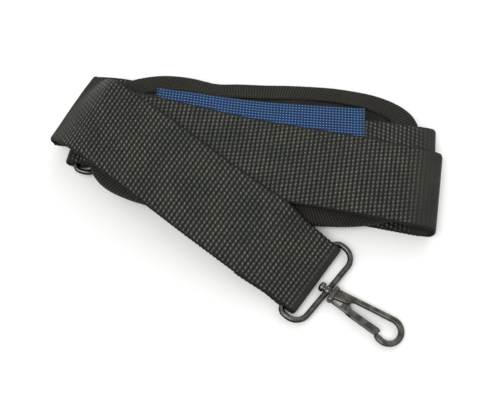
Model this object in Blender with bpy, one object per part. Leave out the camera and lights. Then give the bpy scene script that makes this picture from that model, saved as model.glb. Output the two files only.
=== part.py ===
"""A padded carrying strap of one long flat webbing, folded flat, with a snap hook on each end.

Lengths in this script are in millimetres and go through MM on their way into Blender.
"""

import math

import bmesh
import bpy
import numpy as np
from mathutils import Matrix, Vector

MM = 0.001

# Webbing
STRAP_WIDTH = 50.0
STRAP_THICK = 1.5
PLY_GAP = 0.4
PLY = STRAP_THICK + PLY_GAP
FLOOR_GAP = 0.05
TAIL_LENGTH = 35.0
LOOP_HALF_WIDTH = 22.9
LOOP_RADIUS = 2.7
STITCH_ROOM = 1.0
STITCH_RADIUS = 0.2
WEBBING_STEP = 5.5
STITCH_GAP = 0.45

# Padded shoulder piece
PAD_CENTRE = (2.0, 30.8)
PAD_HALF = (96.0, 45.5)
PAD_POWER = 3.8
PAD_BACK_DIP = 5.0
PAD_THICK = 6.8
PAD_EDGE_THICK = 3.0
COVER_THICK = 0.6
BINDING_WIDTH = 11.0
BINDING_THICK = 0.9
RIM_MARGIN = 7.0
PAD_GAP = 0.75
PANEL_HALF = (62.5, 30.0)
PANEL_LEFT_Y = 28.2
PANEL_RIGHT_Y = 29.6
PANEL_CENTRE_X = 2.2
PANEL_THICK = 0.7

# Folds, in plan: the fold line's middle, and how far the webbing bulges past it
END_1 = (39.0, -46.2)
FOLD_A = (-110.5, 46.2)
FOLD_C = (102.0, 27.4)
FOLD_E = (-90.0, 29.0)
FOLD_D = (101.5, 9.9)
END_2 = (-105.0, 34.4)
BULGE_A = 1.7
BULGE_C = 4.4
BULGE_E = 1.7
BULGE_D = 6.8
DIAGONAL_BOW = 1.6

# Oval ring
WIRE = 1.6
RING_HALF = 25.9
RING_PITCH = 13.6
RING_NEAR_CORNER = 3.8
RING_FAR_CORNER = 7.9

# Snap hook, along its swivel axis from the middle of the ring's far bar
BOSS_RADIUS = 2.95
RIVET_SHANK = 1.5
RIVET_HEAD = 2.7
COLLAR_START = 2.3
COLLAR_HALF = (4.7, 3.1)
BODY_HALF_THICK = 1.5
EAR_HALF_THICK = 0.7
CHEEK_INSIDE = 1.75
CHEEK_OUTSIDE = 2.25
PIVOT = (15.2, -2.6)
PIN_RADIUS = 0.9
BEND_CENTRE = (38.6, 1.35)
BEND_OUTER = 8.5
BEND_INNER = 5.3

# Where the two rings and hooks lie
RING_1_TURN = -35.5
HOOK_1_TURN = -32.0
RING_1_BAR = (36.3, -44.6, 4.2)
RING_2_BAR_HEIGHT = 5.6
FAR_BAR_HEIGHT = 3.25
HOOK_DIP = 1.55
BAR_INSET = 3.15

# Where the bundle lies: the whole folded strap is moved by this much, in plan
SHIFT = (4.6, 1.45)


def unit(degrees):
    return np.array([math.cos(math.radians(degrees)), math.sin(math.radians(degrees))])


def smooth(x):
    x = np.clip(x, 0.0, 1.0)
    return x * x * (3.0 - 2.0 * x)


class Layer:
    """One straight run of the webbing between two folds, with its height at every point."""

    def __init__(self, start, end, bow=0.0, width=STRAP_WIDTH):
        self.start = np.array(start, float)
        run = np.array(end, float) - self.start
        self.length = float(np.hypot(*run))
        self.along = run / self.length
        side = np.array([-self.along[1], self.along[0]])
        self.side = side if side[1] < 0 else -side
        self.bow = bow
        self.u = np.linspace(-6.0, self.length + 6.0, int(self.length / 2.5) + 6)
        self.v = np.linspace(-0.5, 0.5, 9 if width == STRAP_WIDTH else 17) * width
        self.width = width
        self.z = None

    def sideways(self, u):
        return self.bow * (1.0 - (2.0 * u / self.length - 1.0) ** 2)

    def cross(self, v, point, out):
        """How far along the run each of its lines v meets the line through point."""
        u = np.zeros_like(v)
        for _ in range(4):
            miss = (self.plan(u, v) - point) @ out
            u = u - miss / float(self.along @ out)
        return u

    def plan(self, u, v):
        u = np.asarray(u, float)[..., None]
        v = np.asarray(v, float)[..., None]
        return self.start + u * self.along + (v + self.sideways(u)) * self.side

    def local(self, x, y):
        q = np.stack([x, y], -1) - self.start
        u = q @ self.along
        return u, q @ self.side - self.sideways(u)

    def height(self, u, v):
        """Bilinear height of the middle of the webbing."""
        fu = np.clip((u - self.u[0]) / (self.u[1] - self.u[0]), 0, len(self.u) - 1.001)
        fv = np.clip((v - self.v[0]) / (self.v[1] - self.v[0]), 0, len(self.v) - 1.001)
        i = fu.astype(int)
        j = fv.astype(int)
        a = fu - i
        b = fv - j
        z = self.z
        low = z[i, j] * (1 - a) + z[i + 1, j] * a
        high = z[i, j + 1] * (1 - a) + z[i + 1, j + 1] * a
        return low * (1 - b) + high * b

    def floor_under(self, x, y, margin=1.0):
        """The lowest middle height of a ply laid over this one, or 0 beside it."""
        u, v = self.local(x, y)
        inside = (np.abs(v) < self.width / 2 + margin) & (u > -3.0) & (u < self.length + 3.0)
        return np.where(inside, self.height(u, v) + PLY, 0.0)


def relax(lowest, held, rounds=2600, sag=0.004):
    """The height of a stiff sheet that rests on lowest, with some points held."""
    z = np.maximum(lowest, 0.0) + 1.0
    is_held = ~np.isnan(held)
    z[is_held] = held[is_held]
    for _ in range(rounds):
        p = np.pad(z, 2, mode="edge")
        along = p[1:-3, 2:-2] + p[3:-1, 2:-2] - 2 * z
        across = p[2:-2, 1:-3] + p[2:-2, 3:-1] - 2 * z
        curve = (
            p[:-4, 2:-2] + p[4:, 2:-2] - 4 * (p[1:-3, 2:-2] + p[3:-1, 2:-2]) + 6 * z
        )
        z = z + 0.15 * along + 0.15 * across - 0.03 * curve - sag
        z = np.maximum(z, lowest)
        z[is_held] = held[is_held]
    return z


def settle(layer, lowest, first, last, reach=(0.5, 0.5), **options):
    """Rests a layer on lowest(x, y), with its two ends held at the heights first and last."""
    grid_u, grid_v = np.meshgrid(layer.u, layer.v, indexing="ij")
    xy = layer.plan(grid_u, grid_v)
    low = lowest(xy[..., 0], xy[..., 1])
    held = np.full(low.shape, np.nan)
    if first is not None:
        held[layer.u <= reach[0]] = first
    if last is not None:
        held[layer.u >= layer.length - reach[1]] = last
    layer.z = relax(low, held, **options)


def back_dip(x, is_back):
    """How much nearer the pad's back edge lies than its front edge would, mirrored."""
    return np.where(is_back, PAD_BACK_DIP * smooth((40.0 - x) / 80.0), 0.0)


def pad_radius(x, y, margin=0.0):
    """0 in the middle of the pad and 1 on its rim, or a margin outside it."""
    dip = back_dip(x, y > PAD_CENTRE[1])
    a = np.abs(x - PAD_CENTRE[0]) / (PAD_HALF[0] + margin)
    b = np.abs(y - PAD_CENTRE[1]) / (PAD_HALF[1] - dip + margin)
    return (a**PAD_POWER + b**PAD_POWER) ** (1.0 / PAD_POWER)


def rim_point(angle, inset=0.0):
    """A point of the pad's outline, moved in by inset."""
    c = np.cos(angle)
    s = np.sin(angle)
    power = 2.0 / PAD_POWER
    x = PAD_CENTRE[0] + (PAD_HALF[0] - inset) * np.sign(c) * np.abs(c) ** power
    reach = PAD_HALF[1] - inset - back_dip(x, s > 0)
    y = PAD_CENTRE[1] + reach * np.sign(s) * np.abs(s) ** power
    return np.stack([x, y], -1)


def pad_thickness(x, y):
    fade = smooth((1.02 - pad_radius(x, y)) / 0.36)
    return PAD_EDGE_THICK + (PAD_THICK - PAD_EDGE_THICK) * fade


def sep(u):
    """The distance between the two plies of an end loop, u from the loop's round end."""
    return PLY + (2.0 * LOOP_RADIUS - PLY) * (1.0 - smooth((u - 5.0) / 13.0))


def half_width(u):
    """Half the webbing's width, u from the round end of a loop."""
    rest = STRAP_WIDTH / 2
    return LOOP_HALF_WIDTH + (rest - LOOP_HALF_WIDTH) * smooth((u - 8.0) / 30.0)


def hook_top(u, v, bar):
    """The height of the top of the hidden ring and hook, u from the ring's near bar."""
    top = np.zeros_like(u)
    far = RING_PITCH
    parts = (
        (-1.8, 1.8, 28.0, bar + WIRE),
        (far - 5.0, far + 2.2, 28.0, FAR_BAR_HEIGHT + WIRE + 0.8),
        (far - 6.5, far - 1.0, 3.6, FAR_BAR_HEIGHT + RIVET_HEAD + 0.3),
        (far - 2.5, far + 5.8, 5.6, FAR_BAR_HEIGHT + COLLAR_HALF[1]),
        (far + 5.0, far + 48.5, 10.5, FAR_BAR_HEIGHT + BODY_HALF_THICK + 0.9),
    )
    for first, last, half, height in parts:
        inside = (u > first) & (u < last) & (np.abs(v) < half)
        top = np.where(inside, np.maximum(top, height), top)
    return top


def fold_normal(before, after):
    """The unit vector out of a fold between two runs, and the turn's tangent."""
    out = before.along - after.along
    out = out / np.hypot(*out)
    line = np.array([-out[1], out[0]])
    return out, line, float(before.along @ line) / float(before.along @ out)


def next_start(before_along, end, toward, bulge):
    """Where the next run starts, so that its edges carry on from the fold's."""
    after = np.array(toward, float) - np.array(end, float)
    after = after / np.hypot(*after)
    out = before_along - after
    out = out / np.hypot(*out)
    line = np.array([-out[1], out[0]])
    slope = float(before_along @ line) / float(before_along @ out)
    return np.array(end, float) + line * math.pi * bulge * slope


def build_layers():
    """The five straight runs of the webbing, the pad and the panel, laid on each other."""
    runs = {}
    runs["diagonal"] = Layer(END_1, FOLD_A, DIAGONAL_BOW)
    order = (
        ("under", FOLD_A, FOLD_C, BULGE_A, "diagonal"),
        ("sleeve", FOLD_C, FOLD_E, BULGE_C, "under"),
        ("top", FOLD_E, FOLD_D, BULGE_E, "sleeve"),
        ("table", FOLD_D, END_2, BULGE_D, "top"),
    )
    for name, fold, end, bulge, before in order:
        start = next_start(runs[before].along, fold, end, bulge)
        runs[name] = Layer(start, end)
    pad = Layer((-96.0, PAD_CENTRE[1]), (100.0, PAD_CENTRE[1]), width=96.0)
    half = PANEL_HALF
    panel = Layer(
        (PANEL_CENTRE_X - half[0], PANEL_LEFT_Y),
        (PANEL_CENTRE_X + half[0], PANEL_RIGHT_Y),
        width=2 * half[1],
    )
    floor = FLOOR_GAP + STRAP_THICK / 2

    table = runs["table"]
    bar_2 = table.length - BAR_INSET

    def table_low(x, y):
        u, v = table.local(x, y)
        back = table.length - u
        hook = hook_top(bar_2 - u, v, RING_2_BAR_HEIGHT)
        hook = np.where((hook > 0) & (bar_2 - u > 4.0), hook + 0.3 + STRAP_THICK / 2, 0.0)
        under = np.maximum(floor, hook)
        loop = np.where(back < 7.0, RING_2_BAR_HEIGHT - LOOP_RADIUS, 0.0)
        under = np.maximum(under, loop)
        thread = np.where(back > 12.0, STITCH_ROOM, 0.0)
        return under + np.where(back < TAIL_LENGTH + 2.0, sep(back) + thread, 0.0)

    settle(table, table_low, None, RING_2_BAR_HEIGHT + LOOP_RADIUS, (0.5, 7.0))

    under = runs["under"]
    fold_v = under.v / 25.0
    fold_a_height = 9.4 - 3.2 * fold_v**2

    def under_low(x, y):
        return np.maximum(floor, table.floor_under(x, y))

    settle(under, under_low, fold_a_height, None)

    def pad_low(x, y):
        low = np.maximum(table.floor_under(x, y, 4.0), under.floor_under(x, y, 4.0))
        return np.maximum(low + 0.5 - STRAP_THICK / 2 + BINDING_THICK, 1.6)

    settle(pad, pad_low, None, None, rounds=1500)

    def pad_top(x, y):
        u, v = pad.local(x, y)
        bottom = pad.height(u, v)
        rim = smooth((pad_radius(x, y) - 0.66) / 0.12)
        top = bottom + pad_thickness(x, y) + (BINDING_THICK + 0.35) * rim
        return np.where(pad_radius(x, y, RIM_MARGIN) < 1.0, top + PAD_GAP, 0.0)

    sleeve = runs["sleeve"]

    def sleeve_low(x, y):
        return np.maximum(under.floor_under(x, y), pad_top(x, y) + STRAP_THICK / 2)

    settle(sleeve, sleeve_low, 10.4, None)

    def panel_low(x, y):
        half_panel = PANEL_THICK / 2
        over_webbing = sleeve.floor_under(x, y, 2.0) - STRAP_THICK / 2 + half_panel
        u, v = pad.local(x, y)
        top = pad.height(u, v) + pad_thickness(x, y) + 0.3 + half_panel
        return np.maximum(over_webbing, top)

    settle(panel, panel_low, None, None, rounds=900, sag=0.02)

    def panel_top(x, y):
        u, v = panel.local(x, y)
        inside = (np.abs(u - panel.length / 2) < PANEL_HALF[0] + 1.5) & (
            np.abs(v) < PANEL_HALF[1] + 1.0
        )
        return np.where(inside, panel.height(u, v) + PANEL_THICK / 2 + PLY_GAP, 0.0)

    top = runs["top"]

    def top_low(x, y):
        low = np.maximum(pad_top(x, y), panel_top(x, y)) + STRAP_THICK / 2
        low = np.maximum(low, under.floor_under(x, y))
        near = sleeve.length - sleeve.local(x, y)[0]
        extra = (2.0 * BULGE_E - PLY) * np.exp(-np.maximum(near, 0.0) / 6.0)
        over_sleeve = sleeve.floor_under(x, y)
        return np.maximum(low, np.where(over_sleeve > 0, over_sleeve + extra, 0.0))

    settle(top, top_low, None, 13.6)

    diagonal = runs["diagonal"]

    def diagonal_low(x, y):
        u, _ = diagonal.local(x, y)
        low = floor + np.where(u < TAIL_LENGTH + 2.0, sep(u), 0.0)
        bar = RING_1_BAR[2] + LOOP_RADIUS
        low = np.maximum(low, np.where(u < 7.0, bar, 0.0))
        for below in (top, sleeve, under, table):
            low = np.maximum(low, below.floor_under(x, y))
        near = diagonal.length - u
        extra = (2.0 * BULGE_A - PLY) * np.exp(-np.maximum(near, 0.0) / 6.0)
        over_under = under.floor_under(x, y)
        low = np.maximum(low, np.where(over_under > 0, over_under + extra, 0.0))
        pads = np.maximum(pad_top(x, y), panel_top(x, y)) + STRAP_THICK / 2
        return np.maximum(low, pads)

    ends = (RING_1_BAR[2] + LOOP_RADIUS, fold_a_height + 2 * BULGE_A)
    settle(diagonal, diagonal_low, *ends, (7.0, 0.5))
    return runs, pad, panel


def fold_rows(before, after, bulge, steps):
    """The rows of webbing round a fold, and where the two straight runs meet it."""
    out, line, slope = fold_normal(before, after)
    v = before.v
    u_end = before.cross(v, after.start - line * math.pi * bulge * slope, out)
    u_start = after.cross(v, after.start, out)
    first = before.plan(u_end, v)
    z_first = before.height(u_end, v)
    z_last = after.height(u_start, v)
    rows = []
    for k in range(1, steps):
        turn = math.pi * k / steps
        xy = first + line * (turn * bulge * slope) + out * bulge * math.sin(turn)
        z = z_first + (z_last - z_first) * (1.0 - math.cos(turn)) / 2.0
        rows.append(np.column_stack([xy, z]))
    return u_end, rows, u_start


def straight_rows(layer, u_first, u_last, step, narrow=None):
    """Rows of webbing along one run, from u_first to u_last for each of its lines."""
    count = max(2, int(round(float(np.mean(u_last - u_first)) / step)))
    rows = []
    for k in range(count + 1):
        u = u_first + (u_last - u_first) * k / count
        v = layer.v
        if narrow is not None:
            v = v * half_width(narrow(u)) / (STRAP_WIDTH / 2)
        xy = layer.plan(u, v)
        rows.append(np.column_stack([xy, layer.height(u, v)]))
    return rows


def loop_rows(layer, at_start, step):
    """The tail and the round end of an end loop, from the tail's cut edge onwards."""
    sign = 1.0 if at_start else -1.0
    base = 0.0 if at_start else layer.length
    rows = []
    count = int(TAIL_LENGTH / step)
    for k in range(count):
        back = TAIL_LENGTH * (1.0 - k / count)
        v = layer.v * half_width(back) / (STRAP_WIDTH / 2)
        u = np.full_like(v, base + sign * back)
        z = layer.height(u, v) - sep(back)
        rows.append(np.column_stack([layer.plan(u, v), z]))
    v = layer.v * LOOP_HALF_WIDTH / (STRAP_WIDTH / 2)
    u = np.full_like(v, base)
    centre = layer.height(u, v) - LOOP_RADIUS
    for k in range(7):
        turn = math.pi * k / 6 - math.pi / 2
        out = u - sign * LOOP_RADIUS * math.cos(turn)
        z = centre + LOOP_RADIUS * math.sin(turn)
        rows.append(np.column_stack([layer.plan(out, v), z]))
    return rows


def strap_rows(runs, step):
    """Every row across the middle of the webbing, from one cut end to the other."""
    names = ("diagonal", "under", "sleeve", "top", "table")
    bulges = (BULGE_A, BULGE_C, BULGE_E, BULGE_D)
    bends = []
    for before, after, bulge in zip(names, names[1:], bulges):
        steps = 6 if bulge < 3 else 10
        bends.append(fold_rows(runs[before], runs[after], bulge, steps))
    zero = np.zeros(9)
    diagonal = runs["diagonal"]
    table = runs["table"]
    rows = loop_rows(diagonal, True, step)[:-1]
    rows += straight_rows(diagonal, zero, bends[0][0], step, lambda u: u)
    for k, name in enumerate(names[1:]):
        rows += bends[k][1]
        layer = runs[name]
        if k < 3:
            rows += straight_rows(layer, bends[k][2], bends[k + 1][0], step)
        else:
            last = zero + table.length
            rows += straight_rows(
                layer, bends[k][2], last, step, lambda u: table.length - u
            )
    rows += loop_rows(table, False, step)[::-1][1:]
    return np.array(rows)


def material(name, colour, roughness, metallic):
    result = bpy.data.materials.new(name)
    result.use_nodes = True
    shader = result.node_tree.nodes["Principled BSDF"]
    shader.inputs["Base Color"].default_value = (*colour, 1.0)
    shader.inputs["Roughness"].default_value = roughness
    shader.inputs["Metallic"].default_value = metallic
    result.diffuse_color = (*colour, 1.0)
    result.roughness = roughness
    result.metallic = metallic
    return result


def add_object(name, mesh, look, matrix=None, smooth_shade=True):
    """Puts a mesh, whose points are in millimetres, into the scene."""
    mesh.transform(Matrix.Scale(MM, 4))
    mesh.materials.clear()
    mesh.materials.append(look)
    for face in mesh.polygons:
        face.use_smooth = smooth_shade
    obj = bpy.data.objects.new(name, mesh)
    bpy.context.scene.collection.objects.link(obj)
    place = Matrix.Translation((SHIFT[0] * MM, SHIFT[1] * MM, 0.0))
    if matrix is not None:
        moved = matrix.copy()
        moved.translation = moved.translation * MM
        place = place @ moved
    obj.matrix_world = place
    return obj


def mesh_from(name, points, faces):
    mesh = bpy.data.meshes.new(name)
    mesh.from_pydata([tuple(p) for p in points], [], [tuple(f) for f in faces])
    mesh.validate()
    bm = bmesh.new()
    bm.from_mesh(mesh)
    bmesh.ops.recalc_face_normals(bm, faces=bm.faces)
    bm.to_mesh(mesh)
    bm.free()
    return mesh


def thick_sheet(name, middle, thick):
    """A closed sheet about a grid of middle points."""
    rows, columns = middle.shape[:2]
    along = np.gradient(middle, axis=0)
    across = np.gradient(middle, axis=1)
    normal = np.cross(along, across)
    normal /= np.linalg.norm(normal, axis=2, keepdims=True)
    points = np.concatenate([middle + normal * thick / 2, middle - normal * thick / 2])
    points = points.reshape(-1, 3)
    size = rows * columns
    faces = []
    for i in range(rows - 1):
        for j in range(columns - 1):
            a = i * columns + j
            quad = (a, a + 1, a + columns + 1, a + columns)
            faces.append(quad)
            faces.append(tuple(size + k for k in reversed(quad)))
    rim = [j for j in range(columns)]
    rim += [i * columns + columns - 1 for i in range(1, rows)]
    rim += [(rows - 1) * columns + j for j in range(columns - 2, -1, -1)]
    rim += [i * columns for i in range(rows - 2, 0, -1)]
    for a, b in zip(rim, rim[1:] + rim[:1]):
        faces.append((b, a, size + a, size + b))
    return mesh_from(name, points, faces)


def make_webbing(runs, look):
    rows = strap_rows(runs, WEBBING_STEP)[:, ::2]
    add_object("webbing_strap", thick_sheet("webbing_strap", rows, STRAP_THICK), look)


def pad_bottom(pad, xy):
    u, v = pad.local(xy[..., 0], xy[..., 1])
    return pad.height(u, v)


def pad_slab(name, pad, look, share, low, high):
    """A closed slab of the pad, out to share of its outline, between two heights."""
    rings = 6
    turns = 44
    angles = np.linspace(0.0, 2 * math.pi, turns, endpoint=False)
    rim = rim_point(angles)
    centre = np.array(PAD_CENTRE)
    xy = [centre[None]]
    for k in range(1, rings + 1):
        reach = share if k == rings else 0.93 * math.sin(0.5 * math.pi * k / rings) ** 0.8
        xy.append(centre + (rim - centre) * reach)
    xy = np.concatenate(xy)
    bottom = pad_bottom(pad, xy)
    top = bottom + pad_thickness(xy[:, 0], xy[:, 1])
    points = np.concatenate(
        [np.column_stack([xy, high(bottom, top)]), np.column_stack([xy, low(bottom, top)])]
    )
    size = len(xy)
    faces = []
    for j in range(turns):
        n = (j + 1) % turns
        faces.append((0, 1 + j, 1 + n))
        faces.append((size, size + 1 + n, size + 1 + j))
        for k in range(rings - 1):
            a = 1 + k * turns
            quad = (a + j, a + turns + j, a + turns + n, a + n)
            faces.append(quad)
            faces.append(tuple(size + q for q in reversed(quad)))
        a = 1 + (rings - 1) * turns
        faces.append((a + n, a + j, size + a + j, size + a + n))
    add_object(name, mesh_from(name, points, faces), look)


def make_pad(pad, looks):
    thick = COVER_THICK
    pad_slab(
        "pad_bottom_cover", pad, looks["cover"], 0.99, lambda b, t: b, lambda b, t: b + thick
    )
    pad_slab(
        "pad_top_cover", pad, looks["cover"], 0.99, lambda b, t: t - thick, lambda b, t: t
    )
    gap = thick + 0.3
    pad_slab(
        "pad_foam", pad, looks["foam"], 0.965, lambda b, t: b + gap, lambda b, t: t - gap
    )
    binding_section = (
        (BINDING_WIDTH, 0.2),
        (4.0, 0.2),
        (-0.4, 0.2),
        (-0.4, -0.2),
        (4.0, -0.2),
        (BINDING_WIDTH, -0.2),
        (BINDING_WIDTH, -0.2 - BINDING_THICK),
        (4.0, -0.2 - BINDING_THICK),
        (-0.4 - BINDING_THICK, -0.4),
        (-0.4 - BINDING_THICK, 0.4),
        (4.0, 0.2 + BINDING_THICK),
        (BINDING_WIDTH, 0.2 + BINDING_THICK),
    )
    turns = 48
    angles = np.linspace(0.0, 2 * math.pi, turns, endpoint=False)
    points = []
    for inset, rise in binding_section:
        xy = rim_point(angles, inset)
        at = rim_point(angles, max(inset, 0.5))
        bottom = pad_bottom(pad, at)
        base = bottom + pad_thickness(at[:, 0], at[:, 1]) if rise > 0 else bottom
        points.append(np.column_stack([xy, base + rise]))
    count = len(binding_section)
    points = np.stack(points, 1).reshape(-1, 3)
    faces = []
    for i in range(turns):
        n = (i + 1) % turns
        for j in range(count):
            m = (j + 1) % count
            faces.append((i * count + j, n * count + j, n * count + m, i * count + m))
    add_object("pad_binding", mesh_from("pad_binding", points, faces), looks["binding"])


def make_panel(panel, look):
    u = np.linspace(0.0, panel.length, 15)
    v = np.linspace(-PANEL_HALF[1], PANEL_HALF[1], 9)
    grid_u, grid_v = np.meshgrid(u, v, indexing="ij")
    middle = np.dstack([panel.plan(grid_u, grid_v), panel.height(grid_u, grid_v)])
    add_object("sleeve_panel", thick_sheet("sleeve_panel", middle, PANEL_THICK), look)


def make_box_stitch(name, layer, at_start, look):
    """The thread that sews a loop's tail down, on the face that can be seen or reached."""
    sign = 1.0 if at_start else -1.0
    base = 0.0 if at_start else layer.length
    corners = ((17.0, -19.0), (31.0, -19.0), (31.0, 19.0), (17.0, 19.0))
    path = []
    for (u0, v0), (u1, v1) in zip(corners, corners[1:] + corners[:1]):
        count = max(2, int(max(abs(u1 - u0), abs(v1 - v0)) / 4.5))
        for k in range(count):
            back = u0 + (u1 - u0) * k / count
            u = base + sign * back
            v = v0 + (v1 - v0) * k / count
            z = float(layer.height(np.array(u), np.array(v)))
            clear = STRAP_THICK / 2 + STITCH_GAP + STITCH_RADIUS
            z += clear if at_start else -sep(back) - clear
            path.append((*layer.plan(u, v), z))
    add_object(name, tube(name, path, STITCH_RADIUS, 5, True), look)


def tube(name, path, radius, sides, closed):
    """A round wire along a path of points."""
    path = [np.array(p, float) for p in path]
    count = len(path)
    points = []
    up = None
    for i, here in enumerate(path):
        if closed:
            ahead = path[(i + 1) % count] - path[i - 1]
        else:
            ahead = path[min(i + 1, count - 1)] - path[max(i - 1, 0)]
        ahead = ahead / np.linalg.norm(ahead)
        if up is None:
            up = np.array([0.0, 0.0, 1.0])
        up = up - ahead * float(up @ ahead)
        up = up / np.linalg.norm(up)
        right = np.cross(ahead, up)
        for k in range(sides):
            turn = 2 * math.pi * k / sides
            points.append(here + radius * (math.cos(turn) * up + math.sin(turn) * right))
    faces = []
    last = count if closed else count - 1
    for i in range(last):
        n = (i + 1) % count
        for k in range(sides):
            m = (k + 1) % sides
            faces.append((i * sides + k, n * sides + k, n * sides + m, i * sides + m))
    if not closed:
        faces.append(tuple(range(sides)))
        faces.append(tuple(range((count - 1) * sides, count * sides)))
    return mesh_from(name, points, faces)


def arc(centre, radius, first, last, steps):
    """Points of an arc in the plane, angles in degrees."""
    result = []
    for k in range(steps + 1):
        turn = math.radians(first + (last - first) * k / steps)
        result.append(
            (centre[0] + radius * math.cos(turn), centre[1] + radius * math.sin(turn))
        )
    return result


def plate(name, outline, half_thick, bevel=0.0, middle=0.0):
    """A flat plate with the outline given, centred on the height middle."""
    bm = bmesh.new()
    verts = [bm.verts.new((x, y, middle - half_thick)) for x, y in outline]
    face = bm.faces.new(verts)
    grown = bmesh.ops.extrude_face_region(bm, geom=[face])
    moved = [v for v in grown["geom"] if isinstance(v, bmesh.types.BMVert)]
    bmesh.ops.translate(bm, verts=moved, vec=(0, 0, 2 * half_thick))
    bmesh.ops.recalc_face_normals(bm, faces=bm.faces)
    if bevel:
        rims = [
            e for e in bm.edges if abs(e.verts[0].co.z - e.verts[1].co.z) < 0.01
        ]
        bmesh.ops.bevel(
            bm, geom=rims, offset=bevel, segments=1, profile=0.5, affect="EDGES"
        )
    bmesh.ops.triangulate(bm, faces=[f for f in bm.faces if len(f.verts) > 4])
    mesh = bpy.data.meshes.new(name)
    bm.to_mesh(mesh)
    bm.free()
    return mesh


def lathe(name, profile, sides=18):
    """A round piece about the x axis from (x, radius) points, both ends on the axis."""
    points = []
    for x, radius in profile:
        if radius < 1e-6:
            points.append((x, 0.0, 0.0))
            continue
        for k in range(sides):
            turn = 2 * math.pi * k / sides
            points.append((x, radius * math.cos(turn), radius * math.sin(turn)))
    faces = []
    start = 1
    for k in range(sides):
        faces.append((0, start + k, start + (k + 1) % sides))
    for i in range(len(profile) - 3):
        a = start + i * sides
        for k in range(sides):
            n = (k + 1) % sides
            faces.append((a + k, a + sides + k, a + sides + n, a + n))
    a = start + (len(profile) - 3) * sides
    end = len(points) - 1
    for k in range(sides):
        faces.append((end, a + (k + 1) % sides, a + k))
    return mesh_from(name, points, faces)


def rod(name, axis, length, radius, middle, sides=18):
    """A plain round rod along the x or z axis about a middle point."""
    half = length / 2
    mesh = lathe(name, ((-half, 0.0), (-half, radius), (half, radius), (half, 0.0)), sides)
    if axis == "z":
        mesh.transform(Matrix.Rotation(math.radians(90), 4, "Y"))
    mesh.transform(Matrix.Translation(middle))
    return mesh


def combine(mesh, other, operation):
    """The first mesh joined with, or cut by, the second."""
    objects = []
    for part in (mesh, other):
        obj = bpy.data.objects.new("helper", part)
        bpy.context.scene.collection.objects.link(obj)
        objects.append(obj)
    modifier = objects[0].modifiers.new("helper", "BOOLEAN")
    modifier.operation = operation
    modifier.solver = "EXACT"
    modifier.object = objects[1]
    graph = bpy.context.evaluated_depsgraph_get()
    graph.update()
    result = bpy.data.meshes.new_from_object(objects[0].evaluated_get(graph))
    result.name = mesh.name
    for obj in objects:
        bpy.data.objects.remove(obj)
    return result


def ring_path():
    """The middle of the ring's wire: near bar on the y axis, far bar RING_PITCH away."""
    near = RING_NEAR_CORNER
    far = RING_FAR_CORNER
    half = RING_HALF
    path = [(0.0, y) for y in np.linspace(-half + near, half - near, 4)]
    path += arc((near, half - near), near, 180.0, 90.0, 4)[1:]
    path += arc((RING_PITCH - far, half - far), far, 90.0, 0.0, 5)
    path += arc((RING_PITCH - far, -half + far), far, 0.0, -90.0, 5)
    path += arc((near, -half + near), near, -90.0, -180.0, 4)[:-1]
    return [(x, y, 0.0) for x, y in path]


def ring_mesh(name):
    mesh = tube(name, ring_path(), WIRE, 10, True)
    bar = Vector((RING_PITCH, 0.0, 0.0))
    mesh = combine(mesh, rod("boss", "x", 3.3, BOSS_RADIUS, bar), "UNION")
    return combine(mesh, rod("bore", "x", 8.0, RIVET_SHANK + 0.5, bar, 20), "DIFFERENCE")


def rivet_mesh(name):
    head = RIVET_HEAD
    start = -2.35
    return lathe(
        name,
        (
            (start - 3.1, 0.0),
            (start - 3.1, head * 0.45),
            (start - 2.7, head * 0.8),
            (start - 2.0, head),
            (start - 0.4, head),
            (start, head * 0.9),
            (start, RIVET_SHANK),
            (3.6, RIVET_SHANK),
            (3.6, 0.0),
        ),
        18,
    )


def hook_outline():
    outline = [(4.2, 4.2), (5.0, 4.35), (20.0, 6.85), (37.2, 9.72)]
    outline += arc(BEND_CENTRE, BEND_OUTER, 94.0, -90.0, 12)
    outline += [(36.4, -6.95), (34.8, -6.3), (33.8, -5.5), (33.7, -4.9), (34.9, -3.75)]
    outline += [(36.4, -3.55)]
    outline += arc(BEND_CENTRE, BEND_INNER, -90.0, 98.0, 11)
    outline += [(26.0, 4.75), (16.2, 3.1), (14.9, 2.6), (14.2, 1.7), (14.0, 0.7)]
    outline += [(13.2, 0.0), (9.0, -1.0), (4.2, -2.2)]
    return outline


def ear_outline():
    outline = [(3.9, -4.6), (14.0, -4.6)]
    outline += arc(PIVOT, 2.0, -80.0, 50.0, 5)
    outline += [(14.8, 0.2), (11.5, 0.6), (10.6, -1.0), (10.6, -3.3), (3.9, -3.3)]
    return outline


def hook_mesh(name):
    mesh = plate(name, hook_outline(), BODY_HALF_THICK, 0.5)
    mesh = combine(mesh, plate("ear", ear_outline(), EAR_HALF_THICK, 0.2), "UNION")
    half = COLLAR_HALF[0]
    block = [
        (COLLAR_START, -half + 0.8),
        (COLLAR_START + 0.5, -half),
        (COLLAR_START + 2.2, -half),
        (COLLAR_START + 2.8, -half + 0.8),
        (COLLAR_START + 2.8, half - 0.8),
        (COLLAR_START + 2.2, half),
        (COLLAR_START + 0.5, half),
        (COLLAR_START, half - 0.8),
    ]
    mesh = combine(mesh, plate("collar", block, COLLAR_HALF[1], 0.6), "UNION")
    bore = rod("bore", "x", 4.0, RIVET_SHANK + 0.35, Vector((2.1, 0, 0)), 20)
    mesh = combine(mesh, bore, "DIFFERENCE")
    pin = rod("bore", "z", 8.0, PIN_RADIUS + 0.3, Vector((*PIVOT, 0)), 20)
    return combine(mesh, pin, "DIFFERENCE")


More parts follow.
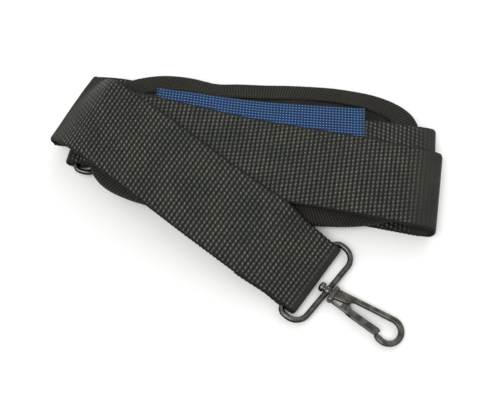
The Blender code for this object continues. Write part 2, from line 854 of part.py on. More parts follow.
def gate_mesh(name):
    cheek = [(13.3, -1.5), (33.8, -1.25), (35.0, -1.8), (35.0, -2.9), (33.4, -4.7)]
    cheek += [(18.0, -4.7), (16.6, -4.6), (15.2, -4.5), (13.6, -3.9), (12.9, -2.6)]
    web = [(18.0, -4.7), (33.4, -4.7), (35.0, -2.9), (35.0, -1.8), (34.3, -1.8)]
    web += [(34.3, -2.7), (33.1, -4.1), (18.0, -4.1)]
    half = (CHEEK_OUTSIDE - CHEEK_INSIDE) / 2
    middle = (CHEEK_OUTSIDE + CHEEK_INSIDE) / 2
    mesh = plate(name, web, CHEEK_OUTSIDE)
    for side in (-1, 1):
        mesh = combine(mesh, plate("cheek", cheek, half, 0.0, side * middle), "UNION")
    pin = rod("bore", "z", 8.0, PIN_RADIUS + 0.3, Vector((*PIVOT, 0)), 20)
    mesh = combine(mesh, pin, "DIFFERENCE")
    mesh.transform(Matrix.Translation((-PIVOT[0], -PIVOT[1], 0)))
    return mesh


def pin_mesh(name):
    head = CHEEK_OUTSIDE + 0.12
    end = head + 0.3
    mesh = lathe(
        name,
        (
            (-end, 0.0),
            (-end, 1.3),
            (-head, 1.5),
            (-head, PIN_RADIUS),
            (head, PIN_RADIUS),
            (head, 1.5),
            (end, 1.3),
            (end, 0.0),
        ),
        14,
    )
    mesh.transform(Matrix.Rotation(math.radians(90), 4, "Y"))
    mesh.transform(Matrix.Translation((*PIVOT, 0)))
    return mesh


def spring_mesh(name):
    """A small torsion spring round the pin, with one leg on the hook and one in the gate."""
    path = [(7.0, -4.0, 1.02), (10.0, -4.05, 1.02), (13.0, -4.12, 1.02)]
    for k in range(13):
        turn = math.radians(-90.0 + 30.0 * k)
        path.append(
            (
                PIVOT[0] + 1.5 * math.cos(turn),
                PIVOT[1] + 1.5 * math.sin(turn),
                1.02 + 0.42 * k / 12,
            )
        )
    path += [(17.2, -3.9, 1.44), (20.0, -3.75, 1.44), (24.0, -3.75, 1.44)]
    return tube(name, path, 0.17, 5, False)


def frame_at(point, turn, dip):
    """A frame whose x axis points along turn in plan and dip below the level, in degrees."""
    return (
        Matrix.Translation(point)
        @ Matrix.Rotation(math.radians(turn), 4, "Z")
        @ Matrix.Rotation(math.radians(dip), 4, "Y")
    )


def make_end(number, bar, ring_turn, hook_turn, looks):
    """One ring with its snap hook."""
    dip = math.degrees(math.asin((bar[2] - FAR_BAR_HEIGHT) / RING_PITCH))
    ring = frame_at(bar, ring_turn, dip)
    far = ring @ Vector((RING_PITCH, 0, 0))
    hook = frame_at(far, hook_turn, HOOK_DIP)
    gate = hook @ Matrix.Translation((*PIVOT, 0))
    metal = looks["metal"]
    tag = f"_{number}"
    add_object("ring" + tag, ring_mesh("ring" + tag), metal, ring)
    add_object("swivel_rivet" + tag, rivet_mesh("rivet" + tag), metal, hook)
    add_object("hook_body" + tag, hook_mesh("hook" + tag), metal, hook, False)
    add_object("gate" + tag, gate_mesh("gate" + tag), metal, gate, False)
    add_object("gate_pin" + tag, pin_mesh("pin" + tag), metal, hook)
    add_object("gate_spring" + tag, spring_mesh("spring" + tag), looks["steel"], hook)


def main():
    for obj in list(bpy.data.objects):
        bpy.data.objects.remove(obj)
    looks = {
        "webbing": material("black_webbing", (0.022, 0.024, 0.022), 0.75, 0.0),
        "cover": material("dark_cover_fabric", (0.018, 0.019, 0.018), 0.85, 0.0),
        "foam": material("grey_foam", (0.12, 0.12, 0.12), 0.95, 0.0),
        "binding": material("ribbed_binding", (0.028, 0.027, 0.023), 0.8, 0.0),
        "panel": material("blue_panel_fabric", (0.02, 0.07, 0.19), 0.8, 0.0),
        "metal": material("black_nickel", (0.11, 0.10, 0.09), 0.3, 1.0),
        "steel": material("spring_steel", (0.35, 0.34, 0.33), 0.35, 1.0),
        "thread": material("black_thread", (0.03, 0.03, 0.03), 0.7, 0.0),
    }
    runs, pad, panel = build_layers()
    make_webbing(runs, looks["webbing"])
    make_pad(pad, looks)
    make_panel(panel, looks["panel"])
    make_box_stitch("box_stitch_1", runs["diagonal"], True, looks["thread"])
    make_box_stitch("box_stitch_2", runs["table"], False, looks["thread"])
    make_end(1, RING_1_BAR, RING_1_TURN, HOOK_1_TURN, looks)
    table = runs["table"]
    bar = table.plan(table.length - BAR_INSET, 0.0)
    back = -table.along
    turn = math.degrees(math.atan2(back[1], back[0]))
    make_end(2, (bar[0], bar[1], RING_2_BAR_HEIGHT), turn, turn, looks)


main()
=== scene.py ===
"""The looks of the folded padded strap: camera, light, webbing, pad, metal, and their materials.

Lengths are in millimetres and go through MM on their way into Blender.
"""

import math

import bmesh
import bpy
import numpy as np
from mathutils import Matrix, Vector


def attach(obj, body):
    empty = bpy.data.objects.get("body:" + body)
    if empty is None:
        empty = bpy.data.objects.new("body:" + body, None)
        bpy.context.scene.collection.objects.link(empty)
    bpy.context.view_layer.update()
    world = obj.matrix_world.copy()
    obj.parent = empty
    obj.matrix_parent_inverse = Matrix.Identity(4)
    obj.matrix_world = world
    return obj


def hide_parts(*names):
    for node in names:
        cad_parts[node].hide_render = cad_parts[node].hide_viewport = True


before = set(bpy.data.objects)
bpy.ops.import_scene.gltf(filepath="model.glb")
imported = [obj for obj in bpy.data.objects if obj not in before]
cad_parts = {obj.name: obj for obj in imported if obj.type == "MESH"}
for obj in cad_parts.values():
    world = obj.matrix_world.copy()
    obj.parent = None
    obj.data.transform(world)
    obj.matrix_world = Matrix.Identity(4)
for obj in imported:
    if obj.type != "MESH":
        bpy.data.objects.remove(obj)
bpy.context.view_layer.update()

MM = 0.001

# Webbing
STRAP_WIDTH = 50.0
HALF_STRAP = STRAP_WIDTH / 2
STRAP_THICK = 1.5
HALF_THICK = STRAP_THICK / 2
PLY_GAP = 0.4
PLY = STRAP_THICK + PLY_GAP
FLOOR_GAP = 0.05
TAIL_LENGTH = 35.0
LOOP_HALF_WIDTH = 22.9
LOOP_RADIUS = 2.7
STITCH_ROOM = 1.0

# Padded shoulder piece
PAD_CENTRE = (2.0, 30.8)
PAD_HALF = (96.0, 45.5)
PAD_POWER = 3.8
PAD_BACK_DIP = 5.0
PAD_THICK = 6.8
PAD_EDGE_THICK = 3.0
BINDING_WIDTH = 11.0
BINDING_THICK = 0.9
RIM_MARGIN = 7.0
PAD_GAP = 0.75
PANEL_HALF = (62.5, 30.0)
PANEL_LEFT_Y = 28.2
PANEL_RIGHT_Y = 29.6
PANEL_CENTRE_X = 2.2
PANEL_THICK = 0.7

# Folds, in plan: the fold line's middle, and how far the webbing bulges past it
END_1 = (39.0, -46.2)
FOLD_A = (-110.5, 46.2)
FOLD_C = (102.0, 27.4)
FOLD_E = (-90.0, 29.0)
FOLD_D = (101.5, 9.9)
END_2 = (-105.0, 34.4)
BULGE_A = 1.7
BULGE_C = 4.4
BULGE_E = 1.7
BULGE_D = 6.8
DIAGONAL_BOW = 1.6

# Oval ring
WIRE = 1.6
RING_HALF = 25.9
RING_PITCH = 13.6
RING_NEAR_CORNER = 3.8
RING_FAR_CORNER = 7.9

# Snap hook, along its swivel axis from the middle of the ring's far bar
BOSS_RADIUS = 2.95
RIVET_SHANK = 1.5
RIVET_HEAD = 2.7
COLLAR_START = 2.3
COLLAR_HALF = (4.7, 3.1)
BODY_HALF_THICK = 1.5
EAR_HALF_THICK = 0.7
CHEEK_INSIDE = 1.75
CHEEK_OUTSIDE = 2.25
PIVOT = (15.2, -2.6)
PIN_RADIUS = 0.9
BEND_CENTRE = (38.6, 1.35)
BEND_OUTER = 8.5
BEND_INNER = 5.3

# Where the two rings and hooks lie
RING_1_TURN = -35.5
HOOK_1_TURN = -32.0
RING_1_BAR = (36.3, -44.6, 4.2)
RING_2_BAR_HEIGHT = 5.6
FAR_BAR_HEIGHT = 3.25
HOOK_DIP = 1.55
BAR_INSET = 3.15

# Where the bundle lies: the whole folded strap is moved by this much, in plan
SHIFT = (4.6, 1.45)

# Cloth detail
WEAVE_PITCH = 2.55
WEAVE_SHEAR = 0.28
WEAVE_STEP = 1.25
RIB_PITCH = 1.75
DOT_PITCH = 1.85
SWELL_CAP = 0.35
RIPPLE_SHARE = 0.6
# Along a stitch: share of its length, share of its radius, height above its line
STITCH_LENGTH = 2.4
STITCH_GAP = 0.9
STITCH_TIP = (0.35, -0.22)
STITCH_RINGS = ((0, *STITCH_TIP), (0.2, 0.95, 0.0), (0.5, 1.0, 0.1), (0.8, 0.95, 0.0), (1, *STITCH_TIP))

# Camera and light
CAMERA_TURN = 5.0
CAMERA_ELEVATION = 65.0
CAMERA_DISTANCE = 0.4
CAMERA_FOCUS = 1.36
WORLD_LOW = 0.5
WORLD_HIGH = 0.8
KEY_LIGHT = 6.0
BACK_LIGHT = 3.5


def smooth(x):
    x = np.clip(x, 0.0, 1.0)
    return x * x * (3.0 - 2.0 * x)


class Layer:
    """One straight run of the webbing between two folds, with its height at every point."""

    def __init__(self, start, end, bow=0.0, width=STRAP_WIDTH):
        self.start = np.array(start, float)
        run = np.array(end, float) - self.start
        self.length = float(np.hypot(*run))
        self.along = run / self.length
        side = np.array([-self.along[1], self.along[0]])
        self.side = side if side[1] < 0 else -side
        self.bow = bow
        self.u = np.linspace(-6.0, self.length + 6.0, int(self.length / 2.5) + 6)
        self.v = np.linspace(-0.5, 0.5, 9 if width == STRAP_WIDTH else 17) * width
        self.width = width
        self.z = None

    def sideways(self, u):
        return self.bow * (1.0 - (2.0 * u / self.length - 1.0) ** 2)

    def cross(self, v, point, out):
        """How far along the run each of its lines v meets the line through point."""
        u = np.zeros_like(v)
        for _ in range(4):
            miss = (self.plan(u, v) - point) @ out
            u = u - miss / float(self.along @ out)
        return u

    def plan(self, u, v):
        u = np.asarray(u, float)[..., None]
        v = np.asarray(v, float)[..., None]
        return self.start + u * self.along + (v + self.sideways(u)) * self.side

    def local(self, x, y):
        q = np.stack([x, y], -1) - self.start
        u = q @ self.along
        return u, q @ self.side - self.sideways(u)

    def height(self, u, v):
        """Bilinear height of the middle of the webbing."""
        fu = np.clip((u - self.u[0]) / (self.u[1] - self.u[0]), 0, len(self.u) - 1.001)
        fv = np.clip((v - self.v[0]) / (self.v[1] - self.v[0]), 0, len(self.v) - 1.001)
        i = fu.astype(int)
        j = fv.astype(int)
        a = fu - i
        b = fv - j
        z = self.z
        low = z[i, j] * (1 - a) + z[i + 1, j] * a
        high = z[i, j + 1] * (1 - a) + z[i + 1, j + 1] * a
        return low * (1 - b) + high * b

    def floor_under(self, x, y, margin=1.0):
        """The lowest middle height of a ply laid over this one, or 0 beside it."""
        u, v = self.local(x, y)
        inside = (np.abs(v) < self.width / 2 + margin) & (u > -3.0) & (u < self.length + 3.0)
        return np.where(inside, self.height(u, v) + PLY, 0.0)


def relax(lowest, held, rounds=2600, sag=0.004):
    """The height of a stiff sheet that rests on lowest, with some points held."""
    z = np.maximum(lowest, 0.0) + 1.0
    is_held = ~np.isnan(held)
    z[is_held] = held[is_held]
    for _ in range(rounds):
        p = np.pad(z, 2, mode="edge")
        along = p[1:-3, 2:-2] + p[3:-1, 2:-2] - 2 * z
        across = p[2:-2, 1:-3] + p[2:-2, 3:-1] - 2 * z
        curve = (p[:-4, 2:-2] + p[4:, 2:-2] - 4 * (p[1:-3, 2:-2] + p[3:-1, 2:-2]) + 6 * z)
        z = z + 0.15 * along + 0.15 * across - 0.03 * curve - sag
        z = np.maximum(z, lowest)
        z[is_held] = held[is_held]
    return z


def settle(layer, lowest, first, last, reach=(0.5, 0.5), **options):
    """Rests a layer on lowest(x, y), with its two ends held at the heights first and last."""
    grid_u, grid_v = np.meshgrid(layer.u, layer.v, indexing="ij")
    xy = layer.plan(grid_u, grid_v)
    low = lowest(xy[..., 0], xy[..., 1])
    held = np.full(low.shape, np.nan)
    if first is not None:
        held[layer.u <= reach[0]] = first
    if last is not None:
        held[layer.u >= layer.length - reach[1]] = last
    layer.z = relax(low, held, **options)


def back_dip(x, is_back):
    """How much nearer the pad's back edge lies than its front edge would, mirrored."""
    return np.where(is_back, PAD_BACK_DIP * smooth((40.0 - x) / 80.0), 0.0)


def pad_radius(x, y, margin=0.0):
    """0 in the middle of the pad and 1 on its rim, or a margin outside it."""
    dip = back_dip(x, y > PAD_CENTRE[1])
    a = np.abs(x - PAD_CENTRE[0]) / (PAD_HALF[0] + margin)
    b = np.abs(y - PAD_CENTRE[1]) / (PAD_HALF[1] - dip + margin)
    return (a**PAD_POWER + b**PAD_POWER) ** (1.0 / PAD_POWER)


def rim_point(angle, inset=0.0):
    """A point of the pad's outline, moved in by inset."""
    c = np.cos(angle)
    s = np.sin(angle)
    power = 2.0 / PAD_POWER
    x = PAD_CENTRE[0] + (PAD_HALF[0] - inset) * np.sign(c) * np.abs(c) ** power
    reach = PAD_HALF[1] - inset - back_dip(x, s > 0)
    y = PAD_CENTRE[1] + reach * np.sign(s) * np.abs(s) ** power
    return np.stack([x, y], -1)


def pad_thickness(x, y):
    fade = smooth((1.02 - pad_radius(x, y)) / 0.36)
    return PAD_EDGE_THICK + (PAD_THICK - PAD_EDGE_THICK) * fade


def sep(u):
    """The distance between the two plies of an end loop, u from the loop's round end."""
    return PLY + (2.0 * LOOP_RADIUS - PLY) * (1.0 - smooth((u - 5.0) / 13.0))


def half_width(u):
    """Half the webbing's width, u from the round end of a loop."""
    return LOOP_HALF_WIDTH + (HALF_STRAP - LOOP_HALF_WIDTH) * smooth((u - 8.0) / 30.0)


def hook_top(u, v, bar):
    """The height of the top of the hidden ring and hook, u from the ring's near bar."""
    top = np.zeros_like(u)
    far = RING_PITCH
    parts = (
        (-1.8, 1.8, 28.0, bar + WIRE),
        (far - 5.0, far + 2.2, 28.0, FAR_BAR_HEIGHT + WIRE + 0.8),
        (far - 6.5, far - 1.0, 3.6, FAR_BAR_HEIGHT + RIVET_HEAD + 0.3),
        (far - 2.5, far + 5.8, 5.6, FAR_BAR_HEIGHT + COLLAR_HALF[1]),
        (far + 5.0, far + 48.5, 10.5, FAR_BAR_HEIGHT + BODY_HALF_THICK + 0.9),
    )
    for first, last, half, height in parts:
        inside = (u > first) & (u < last) & (np.abs(v) < half)
        top = np.where(inside, np.maximum(top, height), top)
    return top


def fold_normal(before, after):
    """The unit vector out of a fold between two directions, its line and the turn's slope."""
    out = before - after
    out = out / np.hypot(*out)
    line = np.array([-out[1], out[0]])
    return out, line, float(before @ line) / float(before @ out)


def next_start(before_along, end, toward, bulge):
    """Where the next run starts, so that its edges carry on from the fold's."""
    after = np.array(toward, float) - np.array(end, float)
    _, line, slope = fold_normal(before_along, after / np.hypot(*after))
    return np.array(end, float) + line * math.pi * bulge * slope


def over_fold(below, near, bulge, x, y):
    """The lowest middle height over a run, higher where its fold with that bulge is near."""
    over = below.floor_under(x, y)
    extra = (2.0 * bulge - PLY) * np.exp(-np.maximum(near, 0.0) / 6.0)
    return np.where(over > 0, over + extra, 0.0)


def build_layers():
    """The five straight runs of the webbing, the pad and the panel, laid on each other."""
    runs = {}
    runs["diagonal"] = Layer(END_1, FOLD_A, DIAGONAL_BOW)
    order = (
        ("under", FOLD_A, FOLD_C, BULGE_A, "diagonal"),
        ("sleeve", FOLD_C, FOLD_E, BULGE_C, "under"),
        ("top", FOLD_E, FOLD_D, BULGE_E, "sleeve"),
        ("table", FOLD_D, END_2, BULGE_D, "top"),
    )
    for name, fold, end, bulge, before in order:
        runs[name] = Layer(next_start(runs[before].along, fold, end, bulge), end)
    pad = Layer((-96.0, PAD_CENTRE[1]), (100.0, PAD_CENTRE[1]), width=96.0)
    half = PANEL_HALF
    panel = Layer(
        (PANEL_CENTRE_X - half[0], PANEL_LEFT_Y),
        (PANEL_CENTRE_X + half[0], PANEL_RIGHT_Y),
        width=2 * half[1],
    )
    floor = FLOOR_GAP + HALF_THICK

    table = runs["table"]
    bar_2 = table.length - BAR_INSET

    def table_low(x, y):
        u, v = table.local(x, y)
        back = table.length - u
        hook = hook_top(bar_2 - u, v, RING_2_BAR_HEIGHT)
        hook = np.where((hook > 0) & (bar_2 - u > 4.0), hook + 0.3 + HALF_THICK, 0.0)
        under = np.maximum(floor, hook)
        loop = np.where(back < 7.0, RING_2_BAR_HEIGHT - LOOP_RADIUS, 0.0)
        under = np.maximum(under, loop)
        thread = np.where(back > 12.0, STITCH_ROOM, 0.0)
        return under + np.where(back < TAIL_LENGTH + 2.0, sep(back) + thread, 0.0)

    settle(table, table_low, None, RING_2_BAR_HEIGHT + LOOP_RADIUS, (0.5, 7.0))

    under = runs["under"]
    fold_v = under.v / 25.0
    fold_a_height = 9.4 - 3.2 * fold_v**2

    def under_low(x, y):
        return np.maximum(floor, table.floor_under(x, y))

    settle(under, under_low, fold_a_height, None)

    def pad_low(x, y):
        low = np.maximum(table.floor_under(x, y, 4.0), under.floor_under(x, y, 4.0))
        return np.maximum(low + 0.5 - HALF_THICK + BINDING_THICK, 1.6)

    settle(pad, pad_low, None, None, rounds=1500)

    def pad_top(x, y):
        u, v = pad.local(x, y)
        bottom = pad.height(u, v)
        rim = smooth((pad_radius(x, y) - 0.66) / 0.12)
        top = bottom + pad_thickness(x, y) + (BINDING_THICK + 0.35) * rim
        return np.where(pad_radius(x, y, RIM_MARGIN) < 1.0, top + PAD_GAP, 0.0)

    sleeve = runs["sleeve"]

    def sleeve_low(x, y):
        return np.maximum(under.floor_under(x, y), pad_top(x, y) + HALF_THICK)

    settle(sleeve, sleeve_low, 10.4, None)

    def panel_low(x, y):
        half_panel = PANEL_THICK / 2
        over_webbing = sleeve.floor_under(x, y, 2.0) - HALF_THICK + half_panel
        u, v = pad.local(x, y)
        top = pad.height(u, v) + pad_thickness(x, y) + 0.3 + half_panel
        return np.maximum(over_webbing, top)

    settle(panel, panel_low, None, None, rounds=900, sag=0.02)

    def panel_top(x, y):
        u, v = panel.local(x, y)
        inside = (np.abs(u - panel.length / 2) < PANEL_HALF[0] + 1.5) & (
            np.abs(v) < PANEL_HALF[1] + 1.0
        )
        return np.where(inside, panel.height(u, v) + PANEL_THICK / 2 + PLY_GAP, 0.0)

    top = runs["top"]

    def top_low(x, y):
        low = np.maximum(pad_top(x, y), panel_top(x, y)) + HALF_THICK
        low = np.maximum(low, under.floor_under(x, y))
        near = sleeve.length - sleeve.local(x, y)[0]
        return np.maximum(low, over_fold(sleeve, near, BULGE_E, x, y))

    settle(top, top_low, None, 13.6)

    diagonal = runs["diagonal"]

    def diagonal_low(x, y):
        u, _ = diagonal.local(x, y)
        low = floor + np.where(u < TAIL_LENGTH + 2.0, sep(u), 0.0)
        bar = RING_1_BAR[2] + LOOP_RADIUS
        low = np.maximum(low, np.where(u < 7.0, bar, 0.0))
        for below in (top, sleeve, under, table):
            low = np.maximum(low, below.floor_under(x, y))
        low = np.maximum(low, over_fold(under, diagonal.length - u, BULGE_A, x, y))
        pads = np.maximum(pad_top(x, y), panel_top(x, y)) + HALF_THICK
        return np.maximum(low, pads)

    ends = (RING_1_BAR[2] + LOOP_RADIUS, fold_a_height + 2 * BULGE_A)
    settle(diagonal, diagonal_low, *ends, (7.0, 0.5))
    return runs, pad, panel


def fold_rows(before, after, bulge, steps):
    """The rows of webbing round a fold, and where the two straight runs meet it."""
    out, line, slope = fold_normal(before.along, after.along)
    v = before.v
    u_end = before.cross(v, after.start - line * math.pi * bulge * slope, out)
    u_start = after.cross(v, after.start, out)
    first = before.plan(u_end, v)
    z_first = before.height(u_end, v)
    z_last = after.height(u_start, v)
    rows = []
    for k in range(1, steps):
        turn = math.pi * k / steps
        xy = first + line * (turn * bulge * slope) + out * bulge * math.sin(turn)
        z = z_first + (z_last - z_first) * (1.0 - math.cos(turn)) / 2.0
        rows.append(np.column_stack([xy, z]))
    return u_end, rows, u_start


def straight_rows(layer, u_first, u_last, step, narrow=None):
    """Rows of webbing along one run, from u_first to u_last for each of its lines."""
    count = max(2, int(round(float(np.mean(u_last - u_first)) / step)))
    rows = []
    for k in range(count + 1):
        u = u_first + (u_last - u_first) * k / count
        v = layer.v
        if narrow is not None:
            v = v * half_width(narrow(u)) / HALF_STRAP
        xy = layer.plan(u, v)
        rows.append(np.column_stack([xy, layer.height(u, v)]))
    return rows


def loop_rows(layer, at_start, step):
    """The tail and the round end of an end loop, from the tail's cut edge onwards."""
    sign = 1.0 if at_start else -1.0
    base = 0.0 if at_start else layer.length
    rows = []
    count = int(TAIL_LENGTH / step)
    for k in range(count):
        back = TAIL_LENGTH * (1.0 - k / count)
        v = layer.v * half_width(back) / HALF_STRAP
        u = np.full_like(v, base + sign * back)
        z = layer.height(u, v) - sep(back)
        rows.append(np.column_stack([layer.plan(u, v), z]))
    v = layer.v * LOOP_HALF_WIDTH / HALF_STRAP
    u = np.full_like(v, base)
    centre = layer.height(u, v) - LOOP_RADIUS
    for k in range(7):
        turn = math.pi * k / 6 - math.pi / 2
        out = u - sign * LOOP_RADIUS * math.cos(turn)
        z = centre + LOOP_RADIUS * math.sin(turn)
        rows.append(np.column_stack([layer.plan(out, v), z]))
    return rows


def strap_rows(runs, step):
    """Every row across the middle of the webbing, from one cut end to the other."""
    names = ("diagonal", "under", "sleeve", "top", "table")
    bulges = (BULGE_A, BULGE_C, BULGE_E, BULGE_D)
    bends = []
    for before, after, bulge in zip(names, names[1:], bulges):
        steps = 6 if bulge < 3 else 10
        bends.append(fold_rows(runs[before], runs[after], bulge, steps))
    zero = np.zeros(9)
    diagonal = runs["diagonal"]
    table = runs["table"]
    rows = loop_rows(diagonal, True, step)[:-1]
    rows += straight_rows(diagonal, zero, bends[0][0], step, lambda u: u)
    for k, name in enumerate(names[1:]):
        rows += bends[k][1]
        layer = runs[name]
        if k < 3:
            rows += straight_rows(layer, bends[k][2], bends[k + 1][0], step)
        else:
            last = zero + table.length
            rows += straight_rows(layer, bends[k][2], last, step, lambda u: table.length - u)
    rows += loop_rows(table, False, step)[::-1][1:]
    return np.array(rows)


def arc(centre, radius, first, last, steps):
    """Points of an arc in the plane, angles in degrees."""
    result = []
    for k in range(steps + 1):
        turn = math.radians(first + (last - first) * k / steps)
        result.append((centre[0] + radius * math.cos(turn), centre[1] + radius * math.sin(turn)))
    return result


def face_outwards(mesh):
    bm = bmesh.new()
    bm.from_mesh(mesh)
    bmesh.ops.recalc_face_normals(bm, faces=bm.faces)
    bm.to_mesh(mesh)
    bm.free()


def raw_mesh(name, points, faces):
    mesh = bpy.data.meshes.new(name)
    mesh.from_pydata([tuple(p) for p in points], [], [tuple(f) for f in faces])
    mesh.validate()
    face_outwards(mesh)
    return mesh


def link(name, data):
    """A new object in the scene."""
    obj = bpy.data.objects.new(name, data)
    bpy.context.scene.collection.objects.link(obj)
    return obj


def circle(sides):
    """The cosine and sine of each of a number of even steps round a circle."""
    turns = [2 * math.pi * k / sides for k in range(sides)]
    return [(math.cos(turn), math.sin(turn)) for turn in turns]


def ring_faces(rings, sides, first=0, closed=False):
    """Quads between one ring of points and the next, from the point first onwards."""
    faces = []
    for i in range(rings if closed else rings - 1):
        a = first + i * sides
        b = first + (i + 1) % rings * sides
        for k in range(sides):
            n = (k + 1) % sides
            faces.append((a + k, b + k, b + n, a + n))
    return faces


def mesh_object(name, points, faces, look, uv=None):
    """A piece from points in millimetres that rides on the folded strap."""
    return finish_object(name, raw_mesh(name, points, faces), look, "folded_strap", uv)


def finish_object(name, mesh, look, body, uv=None, matrix=None, sharp=None):
    """Scales a millimetre mesh, puts it in its place and gives it its material."""
    if uv is not None:
        layer = mesh.uv_layers.new(name="weave")
        index = np.empty(len(mesh.loops), np.int32)
        mesh.loops.foreach_get("vertex_index", index)
        layer.data.foreach_set("uv", np.asarray(uv, np.float32)[index].ravel())
    if matrix is not None:
        mesh.transform(matrix)
    mesh.transform(Matrix.Translation((SHIFT[0], SHIFT[1], 0.0)))
    mesh.transform(Matrix.Scale(MM, 4))
    mesh.materials.clear()
    mesh.materials.append(look)
    face_outwards(mesh)
    mesh.polygons.foreach_set("use_smooth", [True] * len(mesh.polygons))
    if sharp is not None:
        mesh.set_sharp_from_angle(angle=math.radians(sharp))
    obj = link(name, mesh)
    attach(obj, body)
    return obj


def add_attribute(obj, name, values):
    """A number at each point that the material reads."""
    attribute = obj.data.attributes.new(name, "FLOAT", "POINT")
    attribute.data.foreach_set("value", np.asarray(values, np.float32))


# ---------------------------------------------------------------- materials


class Graph:
    """Short names for the nodes of one material."""

    def __init__(self, name, colour, roughness, metallic=0.0, specular=None):
        self.material = bpy.data.materials.new(name)
        self.material.use_nodes = True
        self.tree = self.material.node_tree
        self.shader = self.tree.nodes["Principled BSDF"]
        self.shader.inputs["Base Color"].default_value = (*colour, 1.0)
        self.shader.inputs["Roughness"].default_value = roughness
        self.shader.inputs["Metallic"].default_value = metallic
        self.material.diffuse_color = (*colour, 1.0)
        if specular is not None:
            self.shader.inputs["Specular IOR Level"].default_value = specular

    def node(self, kind):
        return self.tree.nodes.new("ShaderNode" + kind)

    def put(self, socket, value):
        if isinstance(value, bpy.types.NodeSocket):
            self.tree.links.new(value, socket)
        else:
            socket.default_value = value

    def math(self, operation, a, b=0.0, c=0.0):
        node = self.node("Math")
        node.operation = operation
        for socket, value in zip(node.inputs, (a, b, c)):
            self.put(socket, value)
        return node.outputs[0]

    def noise(self, vector, size, detail=2.0):
        node = self.node("TexNoise")
        self.put(node.inputs["Vector"], vector)
        node.inputs["Scale"].default_value = size
        node.inputs["Detail"].default_value = detail
        return node.outputs["Fac"]

    def place(self):
        """Object coordinates, in metres."""
        return self.node("TexCoord").outputs["Object"]

    def weave(self):
        """The two weave coordinates, in millimetres along and across the cloth."""
        node = self.node("UVMap")
        node.uv_map = "weave"
        parts = self.parts(node.outputs[0])
        return parts[0], parts[1], node.outputs[0]

    def parts(self, vector):
        node = self.node("SeparateXYZ")
        self.put(node.inputs[0], vector)
        return node.outputs

    def attribute(self, name):
        node = self.node("Attribute")
        node.attribute_name = name
        return node.outputs["Fac"]

    def ramp(self, value, low, high):
        """value from low to high as 0 to 1, eased."""
        node = self.node("MapRange")
        node.interpolation_type = "SMOOTHSTEP"
        for socket, number in zip(node.inputs, (value, low, high)):
            self.put(socket, number)
        return node.outputs[0]

    def mix(self, share, first, second, blend="MIX"):
        node = self.node("Mix")
        node.data_type = "RGBA"
        node.blend_type = blend
        self.put(node.inputs[0], share)
        for socket, colour in ((node.inputs[6], first), (node.inputs[7], second)):
            self.put(socket, (*colour, 1.0) if isinstance(colour, tuple) else colour)
        return node.outputs[2]

    def times(self, a, b):
        return self.math("MULTIPLY", a, b)

    def scale(self, value, factor, added):
        """value times factor, plus added."""
        return self.math("MULTIPLY_ADD", value, factor, added)

    def bump(self, height, distance, strength):
        node = self.node("Bump")
        self.put(node.inputs["Strength"], strength)
        self.put(node.inputs["Distance"], distance * MM)
        self.put(node.inputs["Height"], height)
        return node.outputs[0]

    def finish(self, colour=None, roughness=None, normal=None):
        for name, value in (("Base Color", colour), ("Roughness", roughness), ("Normal", normal)):
            if value is not None:
                self.put(self.shader.inputs[name], value)
        return self.material


def wave(graph, value, pitch):
    return graph.math("SINE", graph.times(value, 2.0 * math.pi / pitch))


def webbing_look():
    """Heavy woven nylon whose relief is painted in light and shade: a pale painted highlight where each
    yarn comes up, painted shade in the hollows between.
    """
    graph = Graph("black_webbing", (0.03, 0.031, 0.028), 0.62, specular=0.18)
    along, across, both = graph.weave()
    side = across
    wander = graph.noise(both, 0.42, 1.0)
    along = graph.scale(wander, 0.8, along)
    across = graph.scale(wander, -0.8, across)
    across = graph.scale(along, WEAVE_SHEAR, across)
    rows = wave(graph, along, WEAVE_PITCH)
    steps = wave(graph, across, WEAVE_PITCH)
    # Near the turns the weave is pulled flat: its painted highlights and shade fade out, and a smooth
    # band painted as the sheen of the turn takes their place
    flat = graph.attribute("fold")
    shown = graph.math("SUBTRACT", 1.0, graph.times(flat, 0.85))
    yarn = graph.noise(both, 2.2, 3.0)
    uneven = graph.noise(both, 0.36, 1.0)
    cloudy = graph.noise(both, 0.05, 3.0)
    # Painted light on the weave: a paler band along each row, a painted highlight on each yarn's top
    # and painted shade in the hollows; the same shares also raise the bump
    ridge_highlight = graph.ramp(rows, -0.75, 0.7)
    crown_relief_and_highlight = graph.times(graph.ramp(rows, 0.1, 0.97), graph.ramp(steps, 0.15, 0.97))
    crown_relief_and_highlight = graph.times(crown_relief_and_highlight, graph.ramp(uneven, 0.1, 0.6))
    hollow_relief_and_shade = graph.times(graph.ramp(rows, 0.35, -0.7), graph.ramp(steps, 0.5, -0.6))
    ground = graph.mix(ridge_highlight, (0.011, 0.0125, 0.0105), (0.033, 0.0355, 0.0305))
    colour = graph.mix(graph.times(crown_relief_and_highlight, shown), ground, (0.18, 0.185, 0.158))
    colour = graph.mix(graph.times(hollow_relief_and_shade, shown), colour, (0.0035, 0.0045, 0.0035))
    # The band at the turns: painted sheen over fine ribs
    soft = graph.mix(graph.ramp(yarn, 0.3, 0.7), (0.015, 0.0155, 0.0135), (0.026, 0.026, 0.0215))
    fine_ribs = graph.ramp(wave(graph, along, 0.85), -0.8, 0.8)
    soft = graph.mix(graph.times(fine_ribs, 0.45), soft, (0.034, 0.034, 0.028))
    colour = graph.mix(graph.times(flat, 0.85), colour, soft)
    # Painted shadow: a dark line painted along both edges of the webbing, standing in for the shadow
    # line at each ply's edge
    edge_shadow_distance = graph.math("ABSOLUTE", side)
    colour = graph.mix(graph.ramp(edge_shadow_distance, 23.3, 24.7), colour, (0.0045, 0.005, 0.0045))
    shade = graph.mix(graph.ramp(cloudy, 0.32, 0.68), (0.78, 0.8, 0.8), (1.12, 1.1, 1.02))
    colour = graph.mix(1.0, colour, shade, "MULTIPLY")
    height = graph.times(graph.math("ADD", crown_relief_and_highlight, graph.times(hollow_relief_and_shade, -0.7)), shown)
    height = graph.scale(wave(graph, along, 0.8), 0.06, height)
    height = graph.scale(yarn, 0.35, height)
    normal = graph.bump(height, 0.35, 0.8)
    return graph.finish(colour, graph.scale(yarn, 0.25, 0.45), normal)


